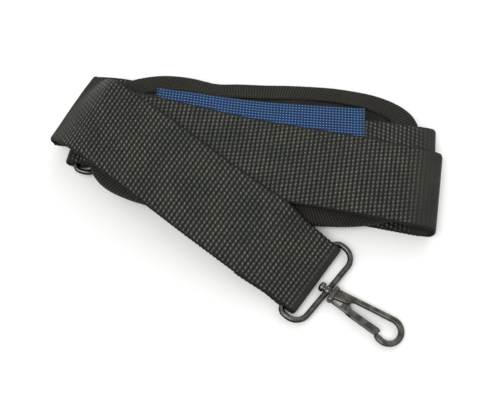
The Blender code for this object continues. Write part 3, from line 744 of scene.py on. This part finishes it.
def binding_look():
    """Ribbed grosgrain tape, with a painted highlight on the crest of each rib."""
    graph = Graph("ribbed_binding", (0.026, 0.023, 0.018), 0.7, specular=0.15)
    along, across, both = graph.weave()
    ribs = wave(graph, along, RIB_PITCH)
    fine = graph.noise(both, 1.9, 3.0)
    # Painted highlight: the crest of each rib is painted paler, where light catches it
    level = graph.times(graph.ramp(ribs, -0.2, 0.9), graph.ramp(fine, 0.2, 0.75))
    cloudy = graph.noise(both, 0.05, 2.0)
    ground = graph.mix(graph.ramp(cloudy, 0.35, 0.65), (0.0085, 0.008, 0.0065), (0.013, 0.012, 0.009))
    colour = graph.mix(level, ground, (0.052, 0.048, 0.037))
    height = graph.scale(fine, 0.6, ribs)
    height = graph.scale(wave(graph, across, 0.9), 0.2, height)
    normal = graph.bump(height, 0.16, 0.8)
    return graph.finish(colour, 0.72, normal)


def panel_look():
    """Blue woven cloth with a dark teal selvedge: a pale painted highlight on each raised yarn top, and
    painted shade in the lines between.
    """
    graph = Graph("blue_panel_fabric", (0.02, 0.065, 0.19), 0.65, specular=0.2)
    along, across, both = graph.weave()
    wander = graph.noise(both, 0.5, 1.0)
    rows = wave(graph, graph.scale(wander, 0.35, along), DOT_PITCH)
    lines = wave(graph, across, DOT_PITCH)
    crowns = graph.times(graph.ramp(rows, -0.3, 1.0), graph.ramp(lines, -0.1, 1.0))
    # Painted light on the weave: a pale highlight on each raised yarn top, and painted shade in the
    # hollow lines between
    dot_highlights = graph.ramp(crowns, 0.3, 0.9)
    hollow_shade = graph.ramp(lines, 0.2, -0.9)
    cloudy = graph.noise(both, 0.07, 3.0)
    ground = graph.mix(graph.ramp(cloudy, 0.3, 0.7), (0.006, 0.032, 0.105), (0.01, 0.045, 0.135))
    colour = graph.mix(hollow_shade, ground, (0.003, 0.016, 0.06))
    colour = graph.mix(dot_highlights, colour, (0.13, 0.26, 0.43))
    colour = graph.mix(graph.attribute("selvedge"), colour, (0.006, 0.028, 0.034))
    normal = graph.bump(graph.scale(wander, 0.3, crowns), 0.14, 0.8)
    return graph.finish(colour, 0.62, normal)


def cover_look():
    """Dark plain cover cloth."""
    graph = Graph("dark_cover_fabric", (0.014, 0.0145, 0.013), 0.85, specular=0.12)
    place = graph.place()
    fine = graph.noise(place, 1900.0, 2.0)
    cloudy = graph.noise(place, 60.0, 3.0)
    colour = graph.mix(graph.ramp(cloudy, 0.3, 0.7), (0.009, 0.0095, 0.0085), (0.019, 0.019, 0.017))
    normal = graph.bump(fine, 0.12, 0.6)
    return graph.finish(colour, 0.85, normal)


def metal_look(name, dark, light, roughness):
    """Thin dark plating with faint brushing, small pits and slight wear, and painted shade: faces that
    turn sideways or down are painted darker.
    """
    graph = Graph(name, light, roughness, 1.0)
    place = graph.place()
    cloudy = graph.noise(place, 220.0, 4.0)
    fine = graph.noise(place, 2600.0, 2.0)
    colour = graph.mix(graph.ramp(cloudy, 0.35, 0.68), dark, light)
    # Painted shade and dark reflections: each face is painted nearly black by its world normal as it
    # turns sideways or down, so its tone changes as a piece turns
    facing = graph.node("NewGeometry").outputs["Normal"]
    lit = graph.ramp(graph.parts(facing)[2], 0.3, 0.99)
    colour = graph.mix(lit, tuple(0.07 * c for c in dark), colour)
    rough = graph.scale(cloudy, 0.22, roughness - 0.1)
    normal = graph.bump(graph.scale(fine, 0.25, cloudy), 0.05, 0.35)
    return graph.finish(colour, rough, normal)


def thread_look(name, colour):
    graph = Graph(name, colour, 0.6)
    fine = graph.noise(graph.place(), 3000.0, 2.0)
    darker = tuple(0.5 * c for c in colour)
    return graph.finish(
        graph.mix(graph.ramp(fine, 0.3, 0.7), darker, colour), 0.6, graph.bump(fine, 0.08, 0.6)
    )


# ---------------------------------------------------------------- cloth


def spread_columns(rows, w):
    """The rows at new places w across the webbing, -1 to 1, on smooth curves."""
    count = rows.shape[1]
    at = (np.asarray(w) + 1.0) * (count - 1) / 2.0
    i = np.clip(at.astype(int), 0, count - 2)
    t = (at - i)[None, :, None]
    p1 = rows[:, i]
    p2 = rows[:, i + 1]
    p0 = np.where((i > 0)[None, :, None], rows[:, np.maximum(i - 1, 0)], 2 * p1 - p2)
    last = np.minimum(i + 2, count - 1)
    p3 = np.where((i + 2 < count)[None, :, None], rows[:, last], 2 * p2 - p1)
    return p1 + 0.5 * t * (
        p2 - p0 + t * (2 * p0 - 5 * p1 + 4 * p2 - p3 + t * (3 * (p1 - p2) + p3 - p0))
    )


def ease_rows(rows, rounds):
    """Takes the small kinks out of the heights along the webbing."""
    z = rows[:, :, 2]
    step = np.linalg.norm(np.diff(rows[:, :, :2], axis=0), axis=2)
    even = np.zeros_like(z)
    even[1:-1] = (step[1:] > 1.0) & (step[:-1] > 1.0)
    for _ in range(rounds):
        soft = z.copy()
        soft[1:-1] = 0.25 * z[:-2] + 0.5 * z[1:-1] + 0.25 * z[2:]
        z = z + even * (soft - z)
    rows[:, :, 2] = z
    return rows


def normals_of(middle):
    along = np.gradient(middle, axis=0)
    across = np.gradient(middle, axis=1)
    normal = np.cross(along, across)
    return normal / np.linalg.norm(normal, axis=2, keepdims=True)


def sheet_faces(rows, columns):
    """Faces of a closed sheet whose top points come before its bottom points."""
    index = np.arange(rows * columns).reshape(rows, columns)
    quads = np.stack([index[:-1, :-1], index[:-1, 1:], index[1:, 1:], index[1:, :-1]], -1)
    quads = quads.reshape(-1, 4)
    size = rows * columns
    rim = np.concatenate([index[0, :-1], index[:-1, -1], index[-1, :0:-1], index[:0:-1, 0]])
    ahead = np.roll(rim, -1)
    sides = np.stack([ahead, rim, size + rim, size + ahead], -1)
    return np.concatenate([quads, size + quads[:, ::-1], sides])


def make_sheet(name, middle, offset, along, across, look):
    """A closed sheet on both sides of a grid of middle points, with its weave coordinates."""
    points = np.concatenate([(middle + offset).reshape(-1, 3), (middle - offset).reshape(-1, 3)])
    uv = np.stack([along, across], -1).reshape(-1, 2)
    faces = sheet_faces(*middle.shape[:2])
    return mesh_object(name, points, faces, look, uv=np.concatenate([uv, uv]))


def make_webbing(runs, look):
    """The whole webbing on its folded path, and how near each row is to a turn, where its weave is
    pulled flat and the material paints a smooth sheen band.
    """
    rows = ease_rows(strap_rows(runs, WEAVE_STEP), 6)
    half = np.array([0.2, 0.4, 0.6, 0.8, 0.93, 0.975, 1.0])
    w = np.concatenate([-half[::-1], [0.0], half])
    grid = spread_columns(rows, w)
    centre = grid[:, len(w) // 2]
    step = np.linalg.norm(np.diff(centre, axis=0), axis=1)
    along = np.concatenate([[0.0], np.cumsum(step)])
    side = grid[:, -1] - grid[:, 0]
    side /= np.linalg.norm(side, axis=1, keepdims=True)
    # each turn of the weft at the edges stands a little proud
    loops = 0.16 * np.cos(2.0 * math.pi * along / WEAVE_PITCH) + 0.05
    grid[:, -1] += side * loops[:, None]
    grid[:, 0] -= side * loops[:, None]
    thick = HALF_THICK * np.array([0.35, 0.78, 0.97] + [1.0] * 9 + [0.97, 0.78, 0.35])
    n, m = grid.shape[:2]
    across = (w * HALF_STRAP)[None, :].repeat(n, 0)
    offset = normals_of(grid) * thick[None, :, None]
    obj = make_sheet("webbing_cloth", grid, offset, along[:, None].repeat(m, 1), across, look)
    # how near each row is to a turn, where the weave is pulled flat and painted as a smooth sheen band:
    # fully at the folds, only just at the end loops
    turning = np.linalg.norm(np.diff(centre, n=2, axis=0), axis=1)
    turning = turning / np.maximum(step[1:] ** 2, 1e-6)
    tight = np.concatenate([[0], turning, [0]]) > 0.12
    at_end = (along < TAIL_LENGTH + 15.0) | (along > along[-1] - TAIL_LENGTH - 15.0)
    fold = np.zeros(n)
    for chosen, width, most in ((tight & at_end, 2.2, 0.8), (tight & ~at_end, 8.5, 1.0)):
        reach = np.abs(along[:, None] - along[chosen][None, :]).min(1)
        fold = np.maximum(fold, most * np.exp(-((reach / width) ** 2)))
    add_attribute(obj, "fold", np.tile(fold[:, None].repeat(m, 1).ravel(), 2))
    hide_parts("webbing_strap")


def make_stitches(name, path, look, radius=0.24):
    """A row of separate stitches along a closed path of points."""
    closed = np.array([*path, path[0]], float)
    starts = lengths_along(closed)
    points = []
    faces = []
    sides = 6
    total = starts[-1]

    def at(distance):
        distance = distance % total
        return np.array([np.interp(distance, starts, closed[:, k]) for k in range(3)])

    count = int(total / (STITCH_LENGTH + STITCH_GAP))
    for k in range(count):
        first = k * total / count
        begin = at(first)
        end = at(first + STITCH_LENGTH)
        axis = (end - begin) / max(np.linalg.norm(end - begin), 1e-6)
        right = np.cross(axis, (0.0, 0.0, 1.0))
        right /= np.linalg.norm(right)
        up = np.cross(right, axis)
        base = len(points)
        for share, size, sink in STITCH_RINGS:
            centre = begin + (end - begin) * share + up * sink
            points += [centre + radius * size * (c * up + s * right) for c, s in circle(sides)]
        faces += ring_faces(len(STITCH_RINGS), sides, base)
        faces.append(tuple(range(base, base + sides)))
        faces.append(tuple(range(len(points) - sides, len(points))))
    return mesh_object(name, points, faces, look)


def box_path(layer, at_start):
    sign = 1.0 if at_start else -1.0
    base = 0.0 if at_start else layer.length
    corners = ((17.0, -19.0), (31.0, -19.0), (31.0, 19.0), (17.0, 19.0))
    path = []
    for (u0, v0), (u1, v1) in zip(corners, corners[1:] + corners[:1]):
        count = int(max(abs(u1 - u0), abs(v1 - v0)) / 1.5)
        for k in range(count):
            back = u0 + (u1 - u0) * k / count
            u = base + sign * back
            v = v0 + (v1 - v0) * k / count
            z = float(layer.height(np.array(u), np.array(v)))
            lift = HALF_THICK + 0.08
            z += lift if at_start else -sep(back) - lift
            path.append((*layer.plan(u, v), z))
    return path


# ---------------------------------------------------------------- pad


def pad_lift(x, y):
    """The back left edge of the pad stands up a little where the webbing bends it."""
    back = smooth((y - 42.0) / 30.0)
    hump = np.exp(-(((x + 52.0) / 17.0) ** 2)) - 0.7 * np.exp(-(((x + 27.0) / 9.0) ** 2))
    return back * 2.4 * hump


def pad_heights(pad, xy):
    u, v = pad.local(xy[..., 0], xy[..., 1])
    bottom = pad.height(u, v) + pad_lift(xy[..., 0], xy[..., 1])
    return bottom, bottom + pad_thickness(xy[..., 0], xy[..., 1])


def make_pad_body(pad, look):
    """The padded body, blown up a little by a cloth simulation and kept under the webbing."""
    turns = 140
    rings = 26
    angles = np.linspace(0.0, 2 * math.pi, turns, endpoint=False)
    rim = rim_point(angles)
    centre = np.array(PAD_CENTRE)
    xy = [centre[None]]
    for k in range(1, rings + 1):
        xy.append(centre + (rim - centre) * 0.985 * math.sin(0.5 * math.pi * k / rings) ** 0.8)
    xy = np.concatenate(xy)
    bottom, top = pad_heights(pad, xy)
    points = np.concatenate([np.column_stack([xy, top]), np.column_stack([xy, bottom])])
    size = len(xy)
    faces = []
    for j in range(turns):
        n = (j + 1) % turns
        faces.append((0, 1 + j, 1 + n))
        faces.append((size, size + 1 + n, size + 1 + j))
        for k in range(rings - 1):
            a = 1 + k * turns
            quad = (a + j, a + turns + j, a + turns + n, a + n)
            faces.append(quad)
            faces.append(tuple(size + q for q in reversed(quad)))
        a = 1 + (rings - 1) * turns
        faces.append((a + n, a + j, size + a + j, size + a + n))
    obj = mesh_object("pad_body", points, faces, look)
    swell(obj)
    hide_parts("pad_top_cover", "pad_bottom_cover", "pad_foam")


def swell(obj):
    """Blows the pad up with Blender's cloth and keeps each point within a small cap."""
    rest = np.array([v.co[:] for v in obj.data.vertices])
    cloth = obj.modifiers.new("cloth", "CLOTH")
    cloth.settings.use_pressure = True
    cloth.settings.uniform_pressure_force = 4.0
    cloth.settings.effector_weights.gravity = 0.0
    cloth.settings.mass = 0.15
    cloth.settings.quality = 6
    cloth.settings.shrink_min = -0.03
    scene = bpy.context.scene
    for number in range(1, 13):
        scene.frame_set(number)
    graph = bpy.context.evaluated_depsgraph_get()
    moved = obj.evaluated_get(graph).to_mesh()
    now = np.array([v.co[:] for v in moved.vertices])
    obj.evaluated_get(graph).to_mesh_clear()
    obj.modifiers.clear()
    scene.frame_set(1)
    shift = now - rest
    size = np.linalg.norm(shift, axis=1, keepdims=True)
    cap = SWELL_CAP * MM
    shift *= np.minimum(1.0, cap / np.maximum(size, 1e-9))
    obj.data.vertices.foreach_set("co", (rest + shift).ravel())
    obj.data.update()


def mirrored(section):
    """Points of the tape's section again on the pad's other face, in the opposite order."""
    return [(inset, -rise, ribbed) for inset, rise, ribbed in reversed(section)]


def make_binding(pad, look, thread):
    """The tape round the rim, its ribs and its two rows of stitches."""
    inner = ((BINDING_WIDTH, 0.15, 0), (6.0, 0.1, 0), (0.0, 0.1, 0), (-0.25, 0.0, 0))
    outer = ((-1.4, 0.0, 1), (-1.25, 0.4, 1), (-0.6, 0.95, 1), (1.0, 1.1, 1), (4.5, 1.1, 1))
    outer += ((8.0, 1.05, 1), (BINDING_WIDTH - 0.3, 0.9, 0.7), (BINDING_WIDTH + 0.1, 0.5, 0.3))
    section = (*inner, *mirrored(inner[:-1]), *mirrored(outer[1:]), *outer)
    angles = even_angles(640)
    along = lengths_along(rim_point(np.append(angles, angles[0])))
    around = along[-1]
    ribs = np.cos(2.0 * math.pi * np.round(around / RIB_PITCH) * along[:-1] / around)
    points = []
    across = 0.0
    uvs = []
    before = section[0][:2]
    for inset, rise, ribbed in section:
        xy = rim_point(angles, inset)
        at = rim_point(angles, max(inset, 0.5))
        bottom, top = pad_heights(pad, at)
        middle = (bottom + top) / 2
        edge = min(max(inset, 0.0) / 1.2, 1.0)
        half = (top - bottom) / 2
        sign = 1.0 if rise > 0 else -1.0 if rise < 0 else 0.0
        z = middle + sign * half * (0.72 + 0.28 * edge) + rise
        z = z + sign * ribbed * 0.09 * ribs
        points.append(np.column_stack([xy, z]))
        across += math.hypot(inset - before[0], rise - before[1])
        before = (inset, rise)
        uvs.append(np.column_stack([along[:-1], np.full(len(angles), across)]))
    points = np.stack(points, 1)
    # a soft tape isn't quite even: it ripples a little along the rim
    ripple = 0.25 * np.sin(along[:-1] / 9.0) + 0.18 * np.sin(along[:-1] / 4.3 + 1.0)
    points[:, :, 2] += ripple[:, None] * RIPPLE_SHARE
    uv = np.stack(uvs, 1).reshape(-1, 2)
    faces = ring_faces(len(angles), len(section), closed=True)
    obj = mesh_object("binding_tape", points.reshape(-1, 3), faces, look, uv=uv)
    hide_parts("pad_binding")
    for name, sign in (("binding_stitches_top", 1), ("binding_stitches_under", -1)):
        xy = rim_point(angles[::2], BINDING_WIDTH - 1.6)
        bottom, top = pad_heights(pad, xy)
        z = top + 1.12 if sign > 0 else bottom - 1.12
        stitches = make_stitches(name, np.column_stack([xy, z]), thread, radius=0.2)


def lengths_along(points):
    """How far along a line of points each of them is."""
    step = np.linalg.norm(np.diff(points, axis=0), axis=1)
    return np.concatenate([[0.0], np.cumsum(step)])


def even_angles(count):
    """Angles that give evenly spaced points along the pad's outline."""
    fine = np.linspace(0.0, 2 * math.pi, 6001)
    along = lengths_along(rim_point(fine))
    return np.interp(np.arange(count) / count * along[-1], along, fine)


def make_panel(panel, look, thread):
    u = np.linspace(0.0, panel.length, 140)
    v = np.linspace(-PANEL_HALF[1], PANEL_HALF[1], 64)
    grid_u, grid_v = np.meshgrid(u, v, indexing="ij")
    fine_z = panel.height(grid_u, grid_v)
    for _ in range(8):
        fine_z[1:-1] = 0.25 * fine_z[:-2] + 0.5 * fine_z[1:-1] + 0.25 * fine_z[2:]
        fine_z[:, 1:-1] = 0.25 * fine_z[:, :-2] + 0.5 * fine_z[:, 1:-1] + 0.25 * fine_z[:, 2:]
    edge = np.minimum(grid_u, panel.length - grid_u)
    fine_z = fine_z + 0.22 * np.exp(-((edge - 1.6) ** 2) / 1.2)
    middle = np.dstack([panel.plan(grid_u, grid_v), fine_z])
    normal = normals_of(middle)
    if normal[0, 0, 2] < 0:
        normal = -normal
    half = PANEL_THICK / 2
    obj = make_sheet("panel_cloth", middle, normal * half, grid_u, grid_v, look)
    border = np.minimum(edge, PANEL_HALF[1] - np.abs(grid_v))
    add_attribute(obj, "selvedge", np.tile(smooth((1.1 - border) / 0.8).ravel(), 2))
    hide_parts("sleeve_panel")
    for name, at in (("panel_stitches_left", 2.2), ("panel_stitches_right", panel.length - 2.2)):
        across = np.linspace(-PANEL_HALF[1] + 1.5, PANEL_HALF[1] - 1.5, 40)
        line = np.full(40, at)
        z = panel.height(line, across) + half + 0.3
        out = np.column_stack([panel.plan(line, across), z])
        back = np.column_stack([panel.plan(line + 0.9, across), z])[::-1]
        stitches = make_stitches(name, np.concatenate([out, back]), thread, radius=0.2)


# ---------------------------------------------------------------- metal


def tube(name, path, radius, sides, closed):
    """A round wire along a path of points."""
    path = [np.array(p, float) for p in path]
    count = len(path)
    points = []
    up = np.array([0.0, 0.0, 1.0])
    for i, here in enumerate(path):
        if closed:
            ahead = path[(i + 1) % count] - path[i - 1]
        else:
            ahead = path[min(i + 1, count - 1)] - path[max(i - 1, 0)]
        ahead = ahead / np.linalg.norm(ahead)
        up = up - ahead * float(up @ ahead)
        up = up / np.linalg.norm(up)
        right = np.cross(ahead, up)
        points += [here + radius * (c * up + s * right) for c, s in circle(sides)]
    faces = ring_faces(count, sides, closed=closed)
    if not closed:
        faces.append(tuple(range(sides)))
        faces.append(tuple(range((count - 1) * sides, count * sides)))
    return raw_mesh(name, points, faces)



def plate(name, outline, half_thick, bevel=0.0, middle=0.0, segments=3):
    """A flat plate with rounded rims, centred on the height middle."""
    bm = bmesh.new()
    verts = [bm.verts.new((x, y, middle - half_thick)) for x, y in outline]
    face = bm.faces.new(verts)
    grown = bmesh.ops.extrude_face_region(bm, geom=[face])
    moved = [v for v in grown["geom"] if isinstance(v, bmesh.types.BMVert)]
    bmesh.ops.translate(bm, verts=moved, vec=(0, 0, 2 * half_thick))
    bmesh.ops.recalc_face_normals(bm, faces=bm.faces)
    if bevel:
        rims = [e for e in bm.edges if abs(e.verts[0].co.z - e.verts[1].co.z) < 0.01]
        bmesh.ops.bevel(bm, geom=rims, offset=bevel, segments=segments, profile=0.5, affect="EDGES")
    bmesh.ops.triangulate(bm, faces=[f for f in bm.faces if len(f.verts) > 4])
    mesh = bpy.data.meshes.new(name)
    bm.to_mesh(mesh)
    bm.free()
    return mesh


def lathe(name, profile, sides=40):
    """A round piece about the x axis from (x, radius) points, both ends on the axis."""
    points = [(profile[0][0], 0.0, 0.0)]
    for x, radius in profile[1:-1]:
        points += [(x, radius * c, radius * s) for c, s in circle(sides)]
    points.append((profile[-1][0], 0.0, 0.0))
    faces = [(0, 1 + k, 1 + (k + 1) % sides) for k in range(sides)]
    faces += ring_faces(len(profile) - 2, sides, 1)
    end = len(points) - 1
    a = end - sides
    faces += [(end, a + (k + 1) % sides, a + k) for k in range(sides)]
    return raw_mesh(name, points, faces)


def rod(name, axis, length, radius, middle):
    """A plain round rod along the x or z axis about a middle point."""
    half = length / 2
    mesh = lathe(name, ((-half, 0.0), (-half, radius), (half, radius), (half, 0.0)), 32)
    if axis == "z":
        mesh.transform(Matrix.Rotation(math.radians(90), 4, "Y"))
    mesh.transform(Matrix.Translation(middle))
    return mesh


def combine(mesh, other, operation):
    """The first mesh joined with, or cut by, the second."""
    objects = []
    for part in (mesh, other):
        objects.append(link("helper", part))
    modifier = objects[0].modifiers.new("helper", "BOOLEAN")
    modifier.operation = operation
    modifier.solver = "EXACT"
    modifier.object = objects[1]
    graph = bpy.context.evaluated_depsgraph_get()
    graph.update()
    result = bpy.data.meshes.new_from_object(objects[0].evaluated_get(graph))
    result.name = mesh.name
    for obj in objects:
        bpy.data.objects.remove(obj)
    return result


def ring_path():
    """The middle of the ring's wire: near bar on the y axis, far bar RING_PITCH away."""
    near = RING_NEAR_CORNER
    far = RING_FAR_CORNER
    half = RING_HALF
    path = [(0.0, y) for y in np.linspace(-half + near, half - near, 14)]
    path += arc((near, half - near), near, 180.0, 90.0, 10)[1:]
    path += arc((RING_PITCH - far, half - far), far, 90.0, 0.0, 14)
    path += [(RING_PITCH, y) for y in np.linspace(half - far, -half + far, 12)[1:-1]]
    path += arc((RING_PITCH - far, -half + far), far, 0.0, -90.0, 14)
    path += arc((near, -half + near), near, -90.0, -180.0, 10)[:-1]
    return [(x, y, 0.0) for x, y in path]


def ring_mesh():
    mesh = tube("ring", ring_path(), WIRE, 20, True)
    bar = Vector((RING_PITCH, 0.0, 0.0))
    radius = BOSS_RADIUS
    half = [(1.25, radius), (1.65, radius - 0.4), (1.65, 0.0)]
    boss = lathe("boss", [(-x, r) for x, r in reversed(half)] + half)
    boss.transform(Matrix.Translation(bar))
    mesh = combine(mesh, boss, "UNION")
    return combine(mesh, rod("bore", "x", 8.0, RIVET_SHANK + 0.5, bar), "DIFFERENCE")


def rivet_mesh():
    head = RIVET_HEAD
    start = -2.35
    dome = [(start - 3.1, 0.0)]
    for k in range(1, 9):
        turn = math.pi / 2 * k / 8
        dome.append((start - 1.6 - 1.5 * math.cos(turn), head * math.sin(turn)))
    dome += [(start - 0.4, head), (start, head * 0.9), (start, RIVET_SHANK)]
    return lathe("rivet", (*dome, (3.6, RIVET_SHANK), (3.6, 0.0)))


def hook_outline():
    outline = [(4.2, 4.2), (5.0, 4.35), (12.0, 5.52), (20.0, 6.85), (29.0, 8.35), (37.2, 9.72)]
    outline += arc(BEND_CENTRE, BEND_OUTER, 94.0, -90.0, 40)
    outline += [(36.4, -6.95), (34.8, -6.3), (33.8, -5.5), (33.7, -4.9), (34.9, -3.75)]
    outline += [(36.4, -3.55)]
    outline += arc(BEND_CENTRE, BEND_INNER, -90.0, 98.0, 36)
    outline += [(26.0, 4.75), (16.2, 3.1), (14.9, 2.6), (14.2, 1.7), (14.0, 0.7)]
    outline += [(13.2, 0.0), (9.0, -1.0), (4.2, -2.2)]
    return outline


def ear_outline():
    outline = [(3.9, -4.6), (14.0, -4.6)]
    outline += arc(PIVOT, 2.0, -80.0, 50.0, 14)
    outline += [(14.8, 0.2), (11.5, 0.6), (10.6, -1.0), (10.6, -3.3), (3.9, -3.3)]
    return outline


def with_pin_bore(mesh):
    bore = rod("bore", "z", 8.0, PIN_RADIUS + 0.3, Vector((*PIVOT, 0)))
    return combine(mesh, bore, "DIFFERENCE")


def hook_mesh():
    mesh = plate("hook", hook_outline(), BODY_HALF_THICK, 0.85, segments=5)
    mesh = combine(mesh, plate("ear", ear_outline(), EAR_HALF_THICK, 0.3), "UNION")
    half = COLLAR_HALF[0]
    block = [
        (COLLAR_START, -half + 0.8),
        (COLLAR_START + 0.25, -half + 0.25),
        (COLLAR_START + 0.7, -half),
        (COLLAR_START + 2.1, -half),
        (COLLAR_START + 2.55, -half + 0.25),
        (COLLAR_START + 2.8, -half + 0.8),
    ]
    block += [(x, -y) for x, y in reversed(block)]
    mesh = combine(mesh, plate("collar", block, COLLAR_HALF[1], 0.9, segments=4), "UNION")
    bore = rod("bore", "x", 4.0, RIVET_SHANK + 0.35, Vector((2.1, 0, 0)))
    mesh = combine(mesh, bore, "DIFFERENCE")
    return with_pin_bore(mesh)


def gate_mesh():
    cheek = [(13.3, -1.5), (33.8, -1.25), (35.0, -1.8), (35.0, -2.9), (33.4, -4.7)]
    cheek += [(18.0, -4.7), (16.6, -4.6), (15.2, -4.5), (13.6, -3.9), (12.9, -2.6)]
    web = [(18.0, -4.7), (33.4, -4.7), (35.0, -2.9), (35.0, -1.8), (34.3, -1.8)]
    web += [(34.3, -2.7), (33.1, -4.1), (18.0, -4.1)]
    half = (CHEEK_OUTSIDE - CHEEK_INSIDE) / 2
    middle = (CHEEK_OUTSIDE + CHEEK_INSIDE) / 2
    mesh = plate("gate", web, CHEEK_OUTSIDE)
    for side in (-1, 1):
        mesh = combine(mesh, plate("cheek", cheek, half, 0.0, side * middle), "UNION")
    return with_pin_bore(mesh)


def pin_mesh():
    head = CHEEK_OUTSIDE + 0.12
    end = head + 0.3
    profile = ((-end, 0.0), (-end, 1.2), (-end + 0.1, 1.45), (-head, 1.5), (-head, PIN_RADIUS))
    profile += tuple((-x, r) for x, r in reversed(profile))
    mesh = lathe("pin", profile, 32)
    mesh.transform(Matrix.Rotation(math.radians(90), 4, "Y"))
    mesh.transform(Matrix.Translation((*PIVOT, 0)))
    return mesh


def spring_mesh():
    """A small torsion spring round the pin, with one leg on the hook and one in the gate."""
    path = [(7.0, -4.0, 1.02), (10.0, -4.05, 1.02), (13.0, -4.12, 1.02)]
    for k in range(33):
        turn = math.radians(-90.0 + 360.0 * k / 32)
        across = (PIVOT[0] + 1.5 * math.cos(turn), PIVOT[1] + 1.5 * math.sin(turn))
        path.append((*across, 1.02 + 0.42 * k / 32))
    path += [(17.2, -3.9, 1.44), (20.0, -3.75, 1.44), (24.0, -3.75, 1.44)]
    return tube("spring", path, 0.17, 10, False)


def frame_at(point, turn, dip):
    """A frame whose x axis points along turn in plan and dip below the level, in degrees."""
    return (
        Matrix.Translation(point)
        @ Matrix.Rotation(math.radians(turn), 4, "Z")
        @ Matrix.Rotation(math.radians(dip), 4, "Y")
    )


def make_end(number, bar, ring_turn, hook_turn, metal, steel):
    """One ring with its snap hook."""
    dip = math.degrees(math.asin((bar[2] - FAR_BAR_HEIGHT) / RING_PITCH))
    ring = frame_at(bar, ring_turn, dip)
    far = ring @ Vector((RING_PITCH, 0, 0))
    hook = frame_at(far, hook_turn, HOOK_DIP)
    pieces = (
        ("oval_ring", "ring", ring_mesh, ring, metal, "ring", 50, "dark_metal"),
        ("rivet", "swivel_rivet", rivet_mesh, hook, metal, "hook", 40, "dark_metal"),
        ("snap_hook", "hook_body", hook_mesh, hook, metal, "hook", 38, "dark_metal"),
        ("snap_gate", "gate", gate_mesh, hook, metal, "gate", 35, "dark_metal"),
        ("pin", "gate_pin", pin_mesh, hook, metal, "hook", 40, "dark_metal"),
        ("spring", "gate_spring", spring_mesh, hook, steel, "hook", 60, "spring_steel"),
    )
    for name, node, maker, place, look, body, sharp, slot in pieces:
        rider = f"{body}_{number}_body"
        obj = finish_object(f"{name}_{number}", maker(), look, rider, matrix=place, sharp=sharp)
        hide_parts(f"{node}_{number}")


# ---------------------------------------------------------------- studio


def make_camera():
    turn = math.radians(CAMERA_TURN)
    down = math.radians(CAMERA_ELEVATION)
    level = math.cos(down)
    look = Vector((-math.sin(turn) * level, math.cos(turn) * level, -math.sin(down)))
    data = bpy.data.cameras.new("camera")
    data.lens = 36.0 * CAMERA_FOCUS
    data.clip_start = 0.01
    data.clip_end = 20.0
    camera = link("camera", data)
    target = Vector((SHIFT[0] * MM, SHIFT[1] * MM, 0.0))
    camera.location = target - look * CAMERA_DISTANCE
    camera.rotation_mode = "QUATERNION"
    camera.rotation_quaternion = look.to_track_quat("-Z", "Y")
    bpy.context.scene.camera = camera


def make_light(name, place, size, power):
    data = bpy.data.lights.new(name, "AREA")
    data.shape = "RECTANGLE"
    data.size, data.size_y = size
    data.energy = power
    obj = link(name, data)
    obj.location = place
    obj.rotation_mode = "QUATERNION"
    obj.rotation_quaternion = (-Vector(place)).to_track_quat("-Z", "Y")


def make_studio():
    graph = Graph("studio_floor", (0.93, 0.93, 0.925), 0.9)
    mesh = bpy.data.meshes.new("floor")
    reach = 6.0
    corners = ((-reach, -reach, 0), (reach, -reach, 0), (reach, reach, 0), (-reach, reach, 0))
    mesh.from_pydata(corners, [], [(0, 1, 2, 3)])
    mesh.materials.append(graph.finish())
    link("floor", mesh)
    world = bpy.data.worlds.new("studio")
    world.use_nodes = True
    tree = world.node_tree
    place = tree.nodes.new("ShaderNodeTexCoord")
    split = tree.nodes.new("ShaderNodeSeparateXYZ")
    level = tree.nodes.new("ShaderNodeMapRange")
    level.inputs[1].default_value = 0.0
    level.inputs[2].default_value = 0.75
    level.inputs[3].default_value = WORLD_LOW
    level.inputs[4].default_value = WORLD_HIGH
    tree.links.new(place.outputs["Generated"], split.inputs[0])
    tree.links.new(split.outputs[2], level.inputs[0])
    tree.links.new(level.outputs[0], tree.nodes["Background"].inputs[1])
    tree.nodes["Background"].inputs[0].default_value = (1.0, 1.0, 0.99, 1.0)
    bpy.context.scene.world = world
    make_light("key", (-0.3, -0.45, 0.95), (0.7, 0.6), KEY_LIGHT)
    make_light("back", (0.3, 0.9, 0.6), (1.0, 0.5), BACK_LIGHT)
    bpy.context.scene.view_settings.view_transform = "Standard"


def main():
    make_camera()
    make_studio()
    webbing = webbing_look()
    cover = cover_look()
    binding = binding_look()
    panel_cloth = panel_look()
    metal = metal_look("black_nickel", (0.07, 0.065, 0.057), (0.15, 0.142, 0.126), 0.27)
    steel = metal_look("spring_steel", (0.25, 0.24, 0.22), (0.38, 0.37, 0.35), 0.3)
    black = thread_look("black_thread", (0.03, 0.03, 0.027))
    teal = thread_look("teal_thread", (0.02, 0.07, 0.075))
    runs, pad, panel = build_layers()
    make_pad_body(pad, cover)
    make_binding(pad, binding, black)
    make_webbing(runs, webbing)
    make_panel(panel, panel_cloth, teal)
    for number, layer in ((1, runs["diagonal"]), (2, runs["table"])):
        path = box_path(layer, number == 1)
        stitches = make_stitches(f"sewn_box_{number}", path, black)
        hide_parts(f"box_stitch_{number}")
    make_end(1, RING_1_BAR, RING_1_TURN, HOOK_1_TURN, metal, steel)
    table = runs["table"]
    bar = table.plan(table.length - BAR_INSET, 0.0)
    back = -table.along
    turn = math.degrees(math.atan2(back[1], back[0]))
    make_end(2, (bar[0], bar[1], RING_2_BAR_HEIGHT), turn, turn, metal, steel)


main()
